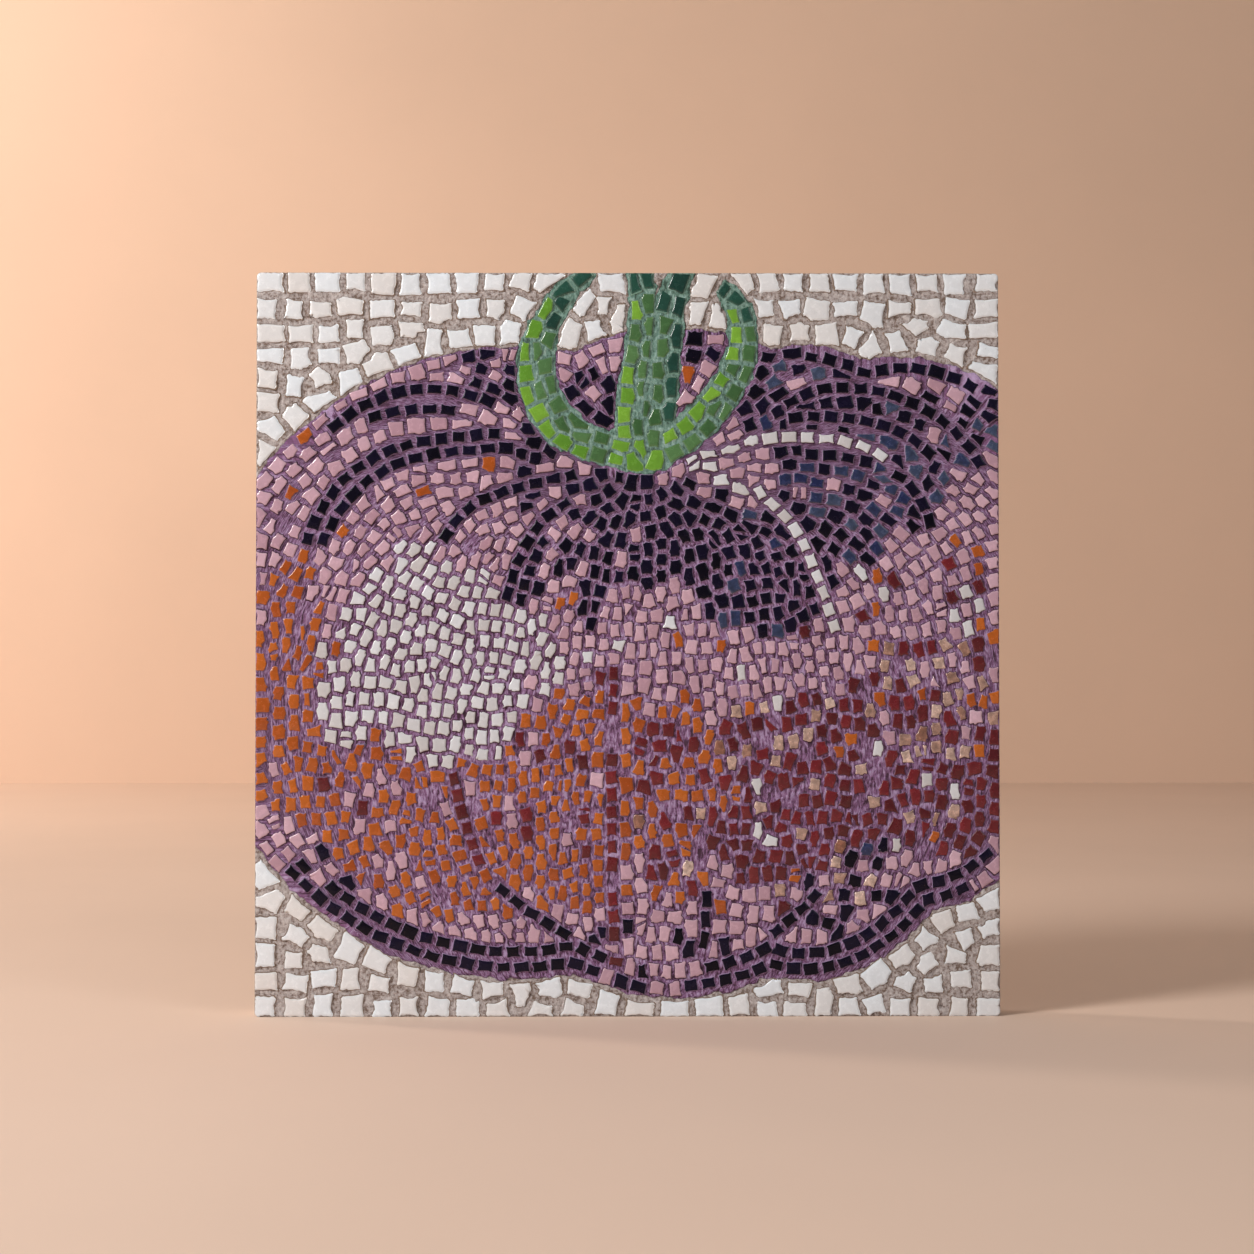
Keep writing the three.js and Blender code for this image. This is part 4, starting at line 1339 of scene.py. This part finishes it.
teal_bed = (0.16, 0.28, 0.215)
calyx_glazes = {
    "dark": glaze(
        "dark green glaze", (0.006, 0.042, 0.032), (0.018, 0.09, 0.062), (0.10, 0.22, 0.17), teal_bed,
        mottle=0.35, wear=0.5, ripple=0.7, coat=0.3,
    ),
    "mid": glaze(
        "leaf green glaze", (0.04, 0.118, 0.038), (0.092, 0.213, 0.076), (0.22, 0.36, 0.2), teal_bed,
        mottle=0.25, wear=0.5, ripple=0.7, coat=0.3,
    ),
    "lime": glaze(
        "lime glaze", (0.10, 0.28, 0.024), (0.20, 0.44, 0.042), (0.42, 0.62, 0.2), teal_bed,
        mottle=0.2, wear=0.5, ripple=0.7, coat=0.3,
    ),
}
for number, (colour, outlines) in enumerate(calyx_tiles.items()):
    name = f"calyx_tiles_{colour}"
    fired = calyx_glazes[colour]
    tiles = set_tiles(name, outlines, fired, seed=80 + number, arris=0.32 * mm, crown=0.09 * mm)
    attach(tiles, "root")

calyx_climb = climb(sum(calyx_tiles.values(), []))


def calyx_lift(x, z):
    hills = rough_hills(x, z, 4 * mm, 1.5 * mm, 0.8, 51)
    return (0.4 + 0.2 * sample(calyx_climb, x, z, fine_step) + 0.5 * hills) * mm


calyx_grout = spread_grout("calyx_grout", calyx_edges, 0.8 * mm, calyx_lift)
teal_tones = (0.05, 0.10, 0.075), (0.16, 0.30, 0.25), (0.33, 0.50, 0.45)
calyx_grout.data.materials.append(grout("teal grout", *teal_tones, drag=0.5, grain=0.5, depth=1.4 * mm))
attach(calyx_grout, "root")
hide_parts("calyx")


# FLOOR, WALL, LIGHT AND CAMERA
# A pale plaster floor and wall. A near soft lamp at the left, a weak wide one at the right, and one
# that washes the wall from the left. The camera stands in front, at the photo's viewing angle.

floor_half = 3.0
wall_at = 2.37
wall_height = 4.0


def add_stage(name, first, last, colour):
    """A sheet as wide as the floor, from one level edge to another, each as (y, z)."""
    (y0, z0), (y1, z1) = first, last
    sides = (-floor_half, y0, z0), (floor_half, y0, z0), (floor_half, y1, z1), (-floor_half, y1, z1)
    part = add_piece(name, sides, [(0, 1, 2, 3)])
    material, tree, surface = new_material(name)
    soft = noise(tree, (-700, 0), object_place(tree, (-900, 0)), 1.6, 4)
    tone = ramp(tree, (-450, 0), soft, [(0.3, [c * 0.93 for c in colour]), (0.7, colour)])
    feed(tree, surface, {"Base Color": tone, "Roughness": 0.75})
    part.data.materials.append(material)


add_stage("floor", (-floor_half, 0), (wall_at, 0), (0.80, 0.60, 0.48))
add_stage("wall", (wall_at, 0), (wall_at, wall_height), (0.80, 0.57, 0.43))


def add_lamp(name, place, aim, size, power, colour):
    data = bpy.data.lights.new(name, "AREA")
    data.shape = "DISK"
    data.size = size
    data.energy = power
    data.color = colour
    lamp = placed(name, data)
    lamp.location = place
    lamp.rotation_euler = (Vector(aim) - Vector(place)).to_track_quat("-Z", "Y").to_euler()


add_lamp("window", (-1.55, -1.1, 1.25), (0, 0, 0.2), 0.7, 40, (1.0, 0.98, 0.96))
add_lamp("softbox", (1.9, -1.9, 1.5), (0, 0, 0.2), 1.2, 13, (0.95, 0.97, 1.0))
add_lamp("wall wash", (-2.4, 0.9, 1.7), (-1.4, wall_at, 0.9), 0.7, 54, (1.0, 0.9, 0.8))

world = bpy.data.worlds.new("soft room")
bpy.context.scene.world = world
world.use_nodes = True
backdrop = world.node_tree.nodes["Background"]
feed(world.node_tree, backdrop, {"Color": (0.93, 0.88, 0.84, 1), "Strength": 0.16})
bpy.context.scene.view_settings.view_transform = "Standard"

camera_data = bpy.data.cameras.new("camera")
camera_data.lens = 63.45
camera_data.sensor_width = 36
camera_data.clip_start = 0.05
camera = placed("camera", camera_data)
camera.location = (-0.01026, -1.2, 0.1875)
camera.rotation_euler = (math.radians(91.033), 0, math.radians(-0.47))
bpy.context.scene.camera = camera
